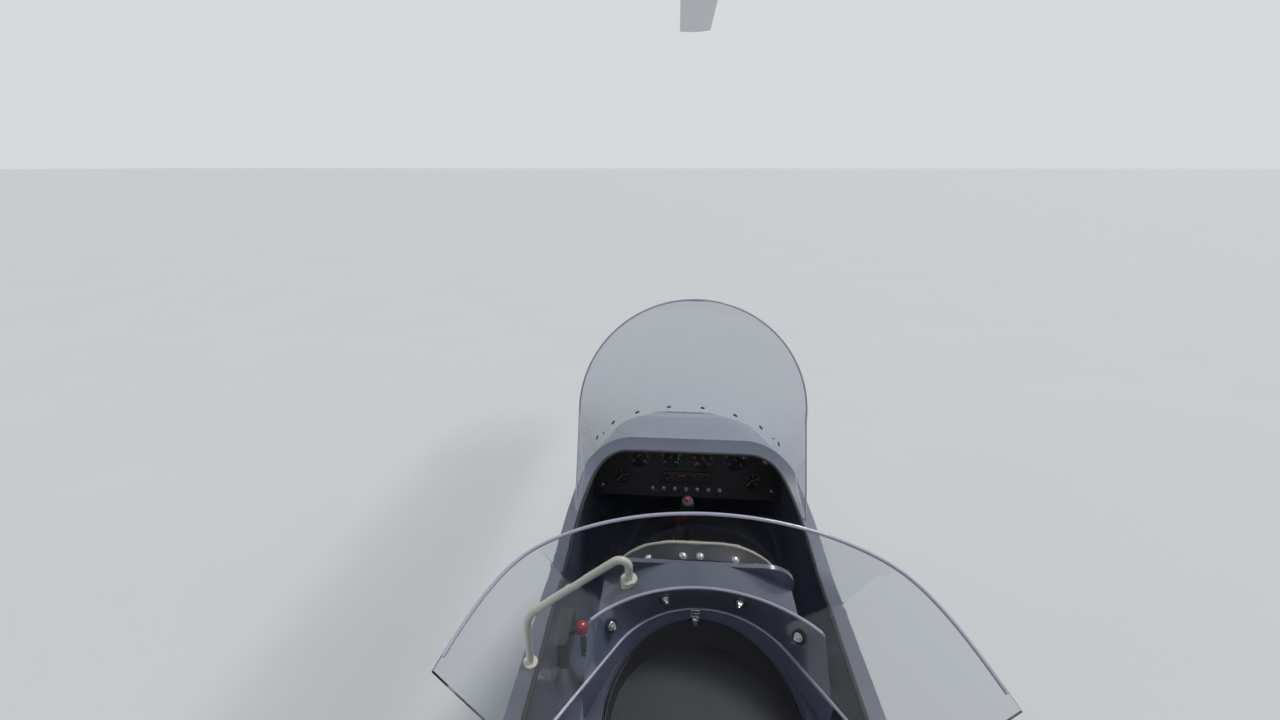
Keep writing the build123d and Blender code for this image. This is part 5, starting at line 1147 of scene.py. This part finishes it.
for degrees in (-80, -58, -36, -12, 12, 36, 58, 80):
    away = Vector((sin(radians(degrees)), cos(radians(degrees)), 0))
    # Up from the deck along the slope until the sheet is met from outside
    for step in range(60):
        place = FRONT_AXIS + FRONT_SLOPE * (-0.30 + step * 0.01) + away * 0.42
        low = touch(front_screen_tree, place, -away, 0.2)
        if low:
            point, normal = touch(front_screen_tree, low[0] + FRONT_SLOPE * 0.022 + away * 0.1, -away, 0.2)
            screen_washers.lathe(point, normal, disc(-0.0002, 0.0085, 0.0016, 0.002, 0.0075), 20)
            screen_screws.screw(point + normal * 0.0018, normal, 0.0055)
            break
screen_screws.done("front_screen_screws", "bright_steel")
screen_washers.done("front_screen_washers", "rubber")

# Dark lining of the pocket behind the front seat
POCKET_RADIUS = 0.1322
POCKET_Y = 0.781
HOOD_CROWN = 0.2666
pocket = [
    (POCKET_RADIUS, 0.745), (POCKET_RADIUS, POCKET_Y),
    *arc_points((0, POCKET_Y), POCKET_RADIUS, 5, 175, 34),
    (-POCKET_RADIUS, POCKET_Y), (-POCKET_RADIUS, 0.745),
]
rings = []
for x, y in pocket:
    inward = Vector((-x, min(0.0, POCKET_Y - y), 0)).normalized()
    top = 1.080 - HOOD_CROWN + (HOOD_CROWN**2 - x**2) ** 0.5 - 0.020
    section = ((0, 1.0104), (0, top), (0.0022, top), (0.0026, 1.0220), (0.007, 1.0128), (0.007, 1.0104))
    rings.append([Vector((x, y, z)) + inward * shift for shift, z in section])
lining = Shape().loft(rings)
base = [(x * 0.985, POCKET_Y + (y - POCKET_Y) * 0.985 if y > POCKET_Y else y) for x, y in pocket]
lining.loft([[(x, y, z) for x, y in base] for z in (1.0103, 1.0128)])
lining.done("pocket_lining", "black_plastic")

# Tub: hatches, steps, louvres, filler cap, nose lamp and floor mats
tub_tree = node_tree("fuselage_tub")
HATCH_STEPS = 14
HATCH_THICK = 0.0016


def hatch(name, centre, across, up, size, corner):
    """Thin rounded panel that follows the tub's skin, with six screws."""
    centre, out = Vector(centre), across.cross(up)
    half = [s / 2 for s in size]
    made, places = Shape(), {}
    for i, j in grid(range(HATCH_STEPS + 1), range(HATCH_STEPS + 1)):
        u, v = ((k / HATCH_STEPS - 0.5) * 2 * h for k, h in zip((i, j), half))
        # Pull the corners in to round them
        over_u, over_v = abs(u) - half[0] + corner, abs(v) - half[1] + corner
        far = (over_u**2 + over_v**2) ** 0.5
        if over_u > 0 and over_v > 0 and far > corner:
            u -= (over_u - over_u * corner / far) * (1 if u > 0 else -1)
            v -= (over_v - over_v * corner / far) * (1 if v > 0 else -1)
        places[i, j] = touch(tub_tree, centre + across * u + up * v + out * 0.5, -out, 1.2)
    run = range(HATCH_STEPS)
    rim = [(i, 0) for i in run] + [(HATCH_STEPS, j) for j in run]
    rim += [(HATCH_STEPS - i, HATCH_STEPS) for i in run] + [(0, HATCH_STEPS - j) for j in run]
    top = {k: made.mesh.verts.new(point + normal * HATCH_THICK) for k, (point, normal) in places.items()}
    low = {k: made.mesh.verts.new(places[k][0] - places[k][1] * 0.0004) for k in places if k in rim}
    for i, j in grid(run, run):
        made.mesh.faces.new([top[i, j], top[i + 1, j], top[i + 1, j + 1], top[i, j + 1]])
    for a, b in zip(rim, rim[1:] + rim[:1]):
        made.mesh.faces.new([top[a], top[b], low[b], low[a]])
    made.mesh.faces.new([low[k] for k in rim])
    made.done(name, "slate_shell")
    heads = Shape()
    for key in grid((1, HATCH_STEPS // 2, HATCH_STEPS - 1), (1, HATCH_STEPS - 1)):
        point, normal = places[key]
        heads.screw(point + normal * HATCH_THICK, normal)
    heads.done(f"{name}_screws", "bright_steel")


STEP_BAR = [(0, 0.024), (0.007, 0.024), (0.009, 0.0125), (0.125, 0.0125), (0.125, 0)]
SLEEVE_FOLDS = [(0.004 + 0.004 * i, 0.0165 - 0.0015 * (i % 2)) for i in range(22)]
hatch("nose_hatch", (0, 2.135, 0.80), X, Y, (0.15, 0.10), 0.022)
for side, label in zip(SIDES, ("left", "right")):
    hatch(f"{label}_side_hatch", (side * 0.32, 0.33, 0.62), Y * side, Z, (0.26, 0.20), 0.03)
    hatch(f"{label}_belly_hatch", (side * 0.31, 1.36, 0.60), Y * side, Z, (0.20, 0.14), 0.025)
    vent = Shape()
    for i in range(4):
        point, normal = touch(tub_tree, (side * 0.5, 1.83 + 0.030 * i, 0.72 - 0.004 * i), -X * side)
        turn = turn_to(normal.cross(Z).normalized(), Z, normal)
        vent.block(point + normal * 0.002, (0.012, 0.085, 0.006), turn, 0.0028)
    vent.done(f"{label}_louvres", "slate_shell")
    foot = touch(tub_tree, (side * 0.6, 0.86, 0.415), -X * side)[0] - X * (side * 0.004)
    step = Shape()
    step.lathe(foot, X * side, STEP_BAR, 28)
    for a in (45, 135, 225, 315):
        step.screw(at_angle(foot + X * side * 0.007, 0.0185, a, Y, Z), X * side, 0.003)
    step.done(f"{label}_step", "beam_paint")
    sleeve = [(0, 0.0126), (0, 0.0165), *SLEEVE_FOLDS, (0.092, 0.015), (0.093, 0)]
    Shape().lathe(foot + X * side * 0.035, X * side, sleeve).done(f"{label}_step_sleeve", "rubber")
point, normal = touch(tub_tree, (0.6, 0.245, 0.86), -X)
FILLER = [
    (-0.002, 0), (-0.002, 0.044), (0.002, 0.044), (0.004, 0.041), (0.004, 0.034), (0.014, 0.032),
    (0.017, 0.028), (0.017, 0),
]
filler = Shape().lathe(point, normal, FILLER, 40)
filler.block(point + normal * 0.019, (0.050, 0.010, 0.007), turn_to(Y, Z, X), 0.003)
filler.done("filler_cap", "alloy")
LAMP = Vector((0, 2.3322, 0.5925))
BOWL = [
    (0, 0.0), (0.001, 0.008), (0.004, 0.028), (0.009, 0.041), (0.0115, 0.0415), (0.0115, 0.0455),
    (0.0005, 0.0455), (0.0, 0.030),
]
lamp = Shape().lathe(LAMP, Y, BOWL, 48)
lamp.lathe(LAMP + Y * 0.001, Y, [(0, 0.005), (0.007, 0.005), (0.0085, 0)], 16)
lamp.done("lamp_bowl", chrome, "bright_steel")
dome = [(0.0118 + 0.0018 * (1 - (r / 0.0406) ** 2), r) for r in (0.034, 0.026, 0.018, 0.010)]
lens = Shape().lathe(LAMP, Y, [(0.0098, 0), (0.0098, 0.0408), (0.0118, 0.0406), *dome, (0.0136, 0)], 48)
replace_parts(lens.done("lamp_lens", "lamp_glass"), "landing_light")
MAT_RIBS = 22
for side, label in zip(SIDES, ("front_left", "front_right")):
    mat = Shape()
    for i in range(MAT_RIBS):
        y = 1.32 + 0.26 * (i + 0.5) / MAT_RIBS
        ends = touches(tub_tree, [((side * 0.16 + s * 0.075, y, 0.70), -Z) for s in SIDES])
        if len(ends) == 2:
            middle = (ends[0][0] + ends[1][0]) / 2
            mat.block(middle + Z * 0.0026, (0.15, 0.0085, 0.0045), None, 0.0016)
    mat.done(f"{label}_mat", "rubber")

# Engine: fasteners, plugs and leads, hose clamps, filters, radiator core and tank caps
case_tree = node_tree("engine_case")
cylinder_tree = node_tree("cylinders")
# (side, y) of the cylinders' middles
CYLINDERS = [(1, -0.262), (1, -0.400), (-1, -0.292), (-1, -0.430)]
PLUG = [(-0.001, 0.0095), (0.006, 0.0095), (0.006, 0.0065), (0.010, 0.0060), (0.010, 0)]
PLUG_CAP = [(0.009, 0.0075), (0.014, 0.0085), (0.034, 0.0075), (0.040, 0.0055), (0.041, 0)]
INTAKE_X = 0.217
INTAKE_Z = 1.325
rays = through_z(grid((0.080,), (-0.205, -0.30, -0.345, -0.48, -0.525)), 1.60)
rays += from_sides(grid((-0.20, -0.345, -0.50), (1.135, 1.245)), 0.4)
rays += [(at_angle((0, -0.95, 1.262), 0.078, a, X, Z), Y) for a in range(20, 380, 40)]
rays += [(at_angle((0, 0.0, 1.19), 0.070, a, X, Z), -Y) for a in range(0, 360, 60)]
fasten("case_bolts", case_tree, rays, 0.0048)
rays = []
for side, y in CYLINDERS:
    rays += [((side * 0.5, y + a * 0.050, 1.190 + b * 0.042), -X * side) for a, b in grid(SIDES, SIDES)]
fasten("head_cover_bolts", cylinder_tree, rays, 0.0045)
plugs, caps, leads = Shape(), Shape(), []
for side, y in CYLINDERS:
    foot, _ = touch(cylinder_tree, (side * 0.235, y - 0.022, 1.5), -Z)
    plugs.lathe(foot, Z, PLUG, 6)
    caps.lathe(foot, Z, PLUG_CAP, 18)
    box = Vector((side * 0.052, -0.36 + 0.25 * (y + 0.346), 1.302))
    leads.append([
        foot + Z * 0.039, foot + Z * 0.062, foot + Vector((-side * 0.035, 0.004, 0.088)),
        Vector((side * 0.125, (foot.y + box.y) / 2, 1.345)), box + Vector((side * 0.03, 0, 0.022)),
        box + Vector((side * 0.006, 0, 0.004)),
    ])
plugs.done("plugs", "bright_steel")
caps.done("plug_caps", "rubber")
line_piece("plug_leads", leads, 0.0033, "rubber")
coils, clamps = Shape(), Shape()
for side in SIDES:
    point, _ = touch(case_tree, (side * 0.050, -0.36, 1.6), -Z)
    coils.block(point + Z * 0.009, (0.036, 0.110, 0.020), None, 0.004)
coils.done("ignition_coils", "black_plastic")


def sleeve_ring(inner, outer, length):
    """Profile of a band between two radii."""
    return [(0, inner), (0, outer), (length, outer), (length, inner)]


for side in SIDES:
    x = side * INTAKE_X
    places = [y for s, y in CYLINDERS if s == side]
    for y in places:
        clamps.lathe((x, y, 1.2885), Z, sleeve_ring(0.0165, 0.0182, 0.009), 28)
        clamps.block((x + 0.0195, y, 1.293), (0.010, 0.012, 0.010), None, 0.002)
    clamps.lathe((x, places[-1] - 0.026, INTAKE_Z), Y, sleeve_ring(0.019, 0.0308, 0.010), 28)
    clamps.lathe((x, places[-1] - 0.079, INTAKE_Z), Y, sleeve_ring(0.029, 0.0305, 0.008), 28)
clamps.done("hose_clamps", "bright_steel")
pleats = Shape()
for side, last in ((1, -0.400), (-1, -0.430)):
    rings = []
    for y, radius in ((last - 0.086, 0.0485), (last - 0.168, 0.0368)):
        waves = [radius + (0.0022 if i % 2 else -0.0006) for i in range(96)]
        centre = (side * INTAKE_X, y, INTAKE_Z)
        rings.append([at_angle(centre, r, 360 * i / 96, X, Z) for i, r in enumerate(waves)])
    pleats.loft(rings)
    for y, radius in ((last - 0.087, 0.0512), (last - 0.172, 0.0395)):
        pleats.lathe((side * INTAKE_X, y, INTAKE_Z), Y, sleeve_ring(0, radius, 0.006), 40)
filter_cloth = finish("filter_cloth", (0.30, 0.035, 0.03), 0.8, spread=0.2, cloud=30)
pleats.done("filter_pleats", filter_cloth, "black_plastic")
core = Shape()
CORE_FACES = ((-0.0945, -1), (-0.0505, 1))
for face, away in CORE_FACES:
    for z in spread_between(1.494, 1.726, 34):
        core.block((0, face + away * 0.0008, z), (0.290, 0.004, 0.0016))
    for x in spread_between(-0.145, 0.145, 59):
        core.block((x, face + away * 0.0002, 1.610), (0.0009, 0.0034, 0.236))
core_frame = [(0, z, 0.300, 0.012) for z in (1.4845, 1.7355)]
core_frame += [(x, 1.610, 0.008, 0.26) for x in (-0.148, 0.148)]
for x, z, wide, high in core_frame:
    for face, away in CORE_FACES:
        core.block((x, face + away * 0.001, z), (wide, 0.006, high), None, 0.0015)
core.done("radiator_core", "black_paint")
OIL_CAP = [
    (0, 0.018), (0.004, 0.018), (0.004, 0.024), (0.005, 0.024), (0.0055, 0.024), (0.016, 0.0235),
    (0.018, 0.020), (0.018, 0),
]
cap = Shape().lathe((-0.100, -0.052, 1.3295), Z, OIL_CAP, 12)
cap.lathe((0, -0.0725, 1.757), Z, [(0, 0.0205), (0, 0.024), (0.007, 0.024), (0.009, 0.020), (0.009, 0)], 10)
cap.done("tank_caps", "alloy")
CAN = [(-0.070, 0.0343), (-0.004, 0.0345), (-0.001, 0.0325), (0.0008, 0.026), (0.0008, 0)]
oil_filter = Shape().lathe((0.038, -0.400, 1.3562), Z, CAN, 48)
for angle in np.arange(0, 360, 22.5):
    rib = at_angle((0.038, -0.400, 1.3455), 0.0348, angle, X, Y)
    oil_filter.block(rib, (0.0035, 0.0035, 0.016), Matrix.Rotation(radians(angle), 3, "Z"), 0.001)
filter_white = finish("filter_white", (0.62, 0.62, 0.60), 0.35, spread=0.05, coat=0.4)
oil_filter.done("oil_filter_can", filter_white, "cream_tube")

# Propeller: hub bolts and metal leading edges
PROP = Vector((0, -0.745, 1.262))
# (reach, chord, pitch in degrees) along a blade
PROP_SECTIONS = [(0.040, 0.062, 40), (0.180, 0.112, 34), (0.460, 0.104, 22), (0.865, 0.052, 14)]
EDGE_WIDTH = 0.016
rays = [(at_angle(PROP - Y * 0.3, 0.0555, a, X, Z), Y) for a in range(30, 390, 60)]
fasten("prop_bolts", node_tree("propeller"), rays, 0.0042, "propeller")
edges = Shape()
reaches, chords, pitches = zip(*PROP_SECTIONS)
for blade in range(3):
    turn = Matrix.Rotation(radians(120 * blade), 3, "Y")
    rings = []
    for reach in np.linspace(0.30, 0.86, 24):
        chord, pitch = (float(np.interp(reach, reaches, column)) for column in (chords, pitches))
        way = at_angle((0, 0, 0), 1, pitch, X, Y)
        flat = Vector((-way.y, way.x, 0)) * 0.0022
        nose = Z * reach + way * (chord / 2)
        ring = [nose - way * EDGE_WIDTH + flat, nose + way * 0.0004, nose - way * EDGE_WIDTH - flat]
        rings.append([PROP + turn @ p for p in ring])
    edges.loft(rings)
edges.done("prop_edges", "bright_steel", None, "propeller")

# Rotor, mast and controls
BLADE_Z = 2.546
TIP_RIVET = [(-0.0002, 0), (-0.0002, 0.004), (0.0004, 0.0038), (0.0006, 0)]
ROOT_RIVET = [(-0.0002, 0), (-0.0002, 0.0042), (0.0006, 0.004), (0.001, 0)]


def blade_rays(way, x, y, sides=SIDES):
    """Rays onto the lower and upper face of the front (way 1) or rear (way -1) blade or grip."""
    return [((way * x, way * y, BLADE_Z + side * 0.3), -Z * side) for side in sides]


hub_tree = node_tree("hub_bar")
blade_bolts = Shape()
for way in (1, -1):
    for side in SIDES:
        for x, y in ((-0.022, 0.570), (0.030, 0.570), (0.004, 0.625), (-0.022, 0.680), (0.030, 0.680)):
            for point, normal in touches(hub_tree, blade_rays(way, x, y, (side,))):
                blade_bolts.bolt(point, normal, 0.0065, thread=0.004 if side < 0 else 0.0)
    for x in (-0.014, 0.014):
        blade_bolts.bolt(*touch(hub_tree, (x, way * 0.090, 2.9), -Z), 0.006)
blade_bolts.done("blade_bolts", "bright_steel", None, "rotor")
rivets = [(x, y, TIP_RIVET) for y, x in grid((4.165, 4.130), (-0.040, 0.010, 0.060, 0.105))]
rivets += [(x, y, ROOT_RIVET) for y, x in grid((0.760, 0.790, 0.820), (-0.030, 0.004, 0.038))]
for way, label in ((1, "front"), (-1, "rear")):
    blade_tree = node_tree(f"{label}_blade")
    made = Shape()
    for x, y, profile in rivets:
        for point, normal in touches(blade_tree, blade_rays(way, x, y)):
            made.lathe(point, normal, profile, 12)
    made.done(f"{label}_blade_rivets", "bright_steel", None, "rotor")
tower_tree = node_tree("rotor_tower")
fasten("teeter_bolt", tower_tree, from_sides([(0, 2.592)]), 0.009, "rotor_shaft", thread=0.006)
rays = [(at_angle((0, 0, 2.8), 0.086, a, X, Y), -Z) for a in range(15, 375, 45)]
fasten("ring_gear_bolts", tower_tree, rays, 0.004, "rotor_shaft")
rays = from_sides([(0, 2.400), (0, 2.436)]) + through_z(grid((0.022,), (-0.150, -0.108)), 2.9)
fasten("head_bolts", node_tree("head_bridge", "prerotator"), rays, 0.006, "rotor_head")
rays = from_sides(grid((0.000, 0.050), (0.380, 0.430)))
rays += from_sides(grid((0.025,), (2.300, 2.250, 1.500, 1.720)))
rays += [((0, 0.025 + s * 0.3, 2.360), -Y * s) for s in SIDES]
fasten("mast_bolts", node_tree("mast"), rays, 0.0065)
nuts = Shape()
for side, z in grid(SIDES, (0.690, 2.330)):
    nuts.lathe((side * 0.188, -0.080, z), Z, sleeve_ring(0.0075, 0.0115, 0.009), 6)
nuts.done("push_rod_nuts", "bright_steel")
# (x, distance from the mast) of each cable
CABLES = ((-0.012, 0.0035), (-0.002, 0.003), (0.010, 0.0045))
cables = [[(x, -0.0152 - r, z) for z in np.linspace(0.50, 2.27, 14)] for x, r in CABLES]
line_piece("mast_cables", cables, 0.0042, "rubber")
clips = Shape()
for z in np.linspace(0.62, 2.20, 9):
    clips.block((-0.001, -0.0195, z), (0.040, 0.0115, 0.012), None, 0.003)
    clips.screw((0.0135, -0.0250, z), -Y, 0.0032)
clips.done("cable_clips", "alloy")

# Undercarriage: bolts, brake lines, nose leg fittings
gear_tree = node_tree("gear_bow", "bow_clamp", "main_axles", "keel_beam")
axle_places = grid((0.665, 0.712), (-0.335, -0.265))
rays = through_z(axle_places, 1.0) + through_z(grid((0.052, 0.092), (-0.345, -0.255)), 0.60)
fasten("gear_bolts", gear_tree, rays + through_z(axle_places, -0.1, 1), 0.0065)
brake_lines, line_clips = [], Shape()
for side in SIDES:
    route = [(side * 0.030, -0.235, 0.352)]
    rays = [((side * x, -0.248, 0.9), -Z) for x in np.linspace(0.10, 0.66, 22)]
    route += [p + n * 0.0028 for p, n in touches(gear_tree, rays)]
    route += [(side * 0.700, -0.236, 0.272), (side * 0.742, -0.222, 0.262), (side * 0.768, -0.232, 0.250)]
    brake_lines.append(route)
    rays = [((side * x, -0.248, 0.9), -Z) for x in (0.16, 0.28, 0.40, 0.52, 0.62)]
    for point, normal in touches(gear_tree, rays):
        line_clips.block(point + normal * 0.0026, (0.010, 0.016, 0.0072), None, 0.0022)
        line_clips.screw(point + normal * 0.0008 - Y * 0.011, normal, 0.003)
line_piece("brake_lines", brake_lines, 0.0026, "rubber")
line_clips.done("brake_line_clips", "black_plastic")
rays = []
for side, a in grid(SIDES, (60, 100, 140)):
    rays.append((at_angle((side * 0.785, -0.300, AXLE_Z), 0.30, a, Y, Z), at_angle((0, 0, 0), -1, a, Y, Z)))
fasten("mudguard_screws", node_tree("mudguards"), rays, kind="screw")
fork_tree = node_tree("nose_fork")
fasten("nose_axle_nuts", fork_tree, from_sides([(1.690, AXLE_Z)]), 0.0105, "nose_leg", thread=0.006)
rays = from_sides([(1.715, 0.400), (1.715, 0.425)]) + through_z(grid((0.045,), (1.735, 1.765)), 0.50)
fasten("fork_bolts", fork_tree, rays, 0.005, "nose_leg")

# Tail: bolts, screws, hinges, the rudder's doubler and the lights
HINGES_Z = (0.720, 1.130)
side_fins, fin_tree, rudder_tree = (node_tree(name) for name in ("side_fins", "central_fin", "rudder"))
rays = through_z(grid((0.022, 0.055), (-2.22, -2.36, -2.46)), 0.9)
rays += through_z(grid((0.022,), (-2.25, -2.40)), 0.1, 1)
fasten("tail_bolts", node_tree("tailplane", "keel_beam"), rays, 0.006)
rays = from_sides(grid((-2.20, -2.36, -2.52), (0.492,)), 1.2)
fasten("side_fin_screws", side_fins, rays, 0.0055, kind="screw")
fasten("fin_screws", fin_tree, from_sides(grid((-2.20, -2.34, -2.46), (0.530,))), kind="screw")
pins = Shape()
for z, dz in grid(HINGES_Z, (-0.020, 0.0165)):
    pins.lathe((0, -2.510, z + dz), Z, [(0, 0.0075), (0.0035, 0.0075), (0.0045, 0.006), (0.0045, 0)], 6)
pins.done("hinge_pins", "bright_steel")
for label, tree, y, body in (
    ("fin", fin_tree, -2.470, "airframe"), ("rudder", rudder_tree, -2.560, "rudder"),
):
    straps = Shape()
    for point, normal in touches(tree, from_sides(grid((y,), HINGES_Z))):
        straps.block(point + normal * 0.0006, (0.058, 0.024, 0.0022), turn_to(Y, Z, normal), 0.001)
        for shift in (-0.018, 0.018):
            straps.screw(point + normal * 0.0015 + Y * shift, normal, 0.0042)
    straps.done(f"{label}_hinge_straps", "bright_steel", None, body)
doubler = Shape()
for point, normal in touches(rudder_tree, from_sides([(-2.640, 0.800)])):
    doubler.block(point + normal * 0.0005, (0.060, 0.150, 0.0016), turn_to(Y, Z, normal), 0.0007)
    for z in (-0.055, 0, 0.055):
        doubler.screw(point + normal * 0.0012 + Z * z, normal, 0.0034)
doubler.done("rudder_doubler", "alloy", None, "rudder")
GLASS = [(0, 0.0125), (0.008, 0.0115), (0.014, 0.0075), (0.016, 0)]
housings = Shape()
for side, tint, hue, label in (
    (-1, (0.80, 0.03, 0.02), "red", "left"), (1, (0.03, 0.60, 0.16), "green", "right"),
):
    point, normal = touch(side_fins, (side * 1.0, -2.30, 0.655), -X * side)
    housings.block(point + normal * 0.003, (0.008, 0.080, 0.030), None, 0.0035)
    glass = Shape().lathe(point + normal * 0.006 + Y * 0.012, normal, GLASS, 28)
    glass.done(f"{label}_position_light", clear_sheet(f"glass_{hue}", tint, 0.05), "lamp_glass")
    for y in (-0.030, 0.033):
        housings.screw(point + normal * 0.0068 + Y * y, normal, 0.0028)
top, _ = touch(fin_tree, (0, -2.42, 1.6), -Z)
housings.lathe(top - Z * 0.002, Z, [(0, 0.0105), (0.010, 0.0105), (0.012, 0.0095), (0.012, 0)], 28)
beacon = Shape().lathe(top + Z * 0.0095, Z, [(0, 0.0098), (0.014, 0.0094), (0.022, 0.0065), (0.025, 0)], 28)
beacon.done("beacon", clear_sheet("glass_white", (0.9, 0.9, 0.88), 0.05), "lamp_glass")
housings.done("light_housings", "black_plastic")
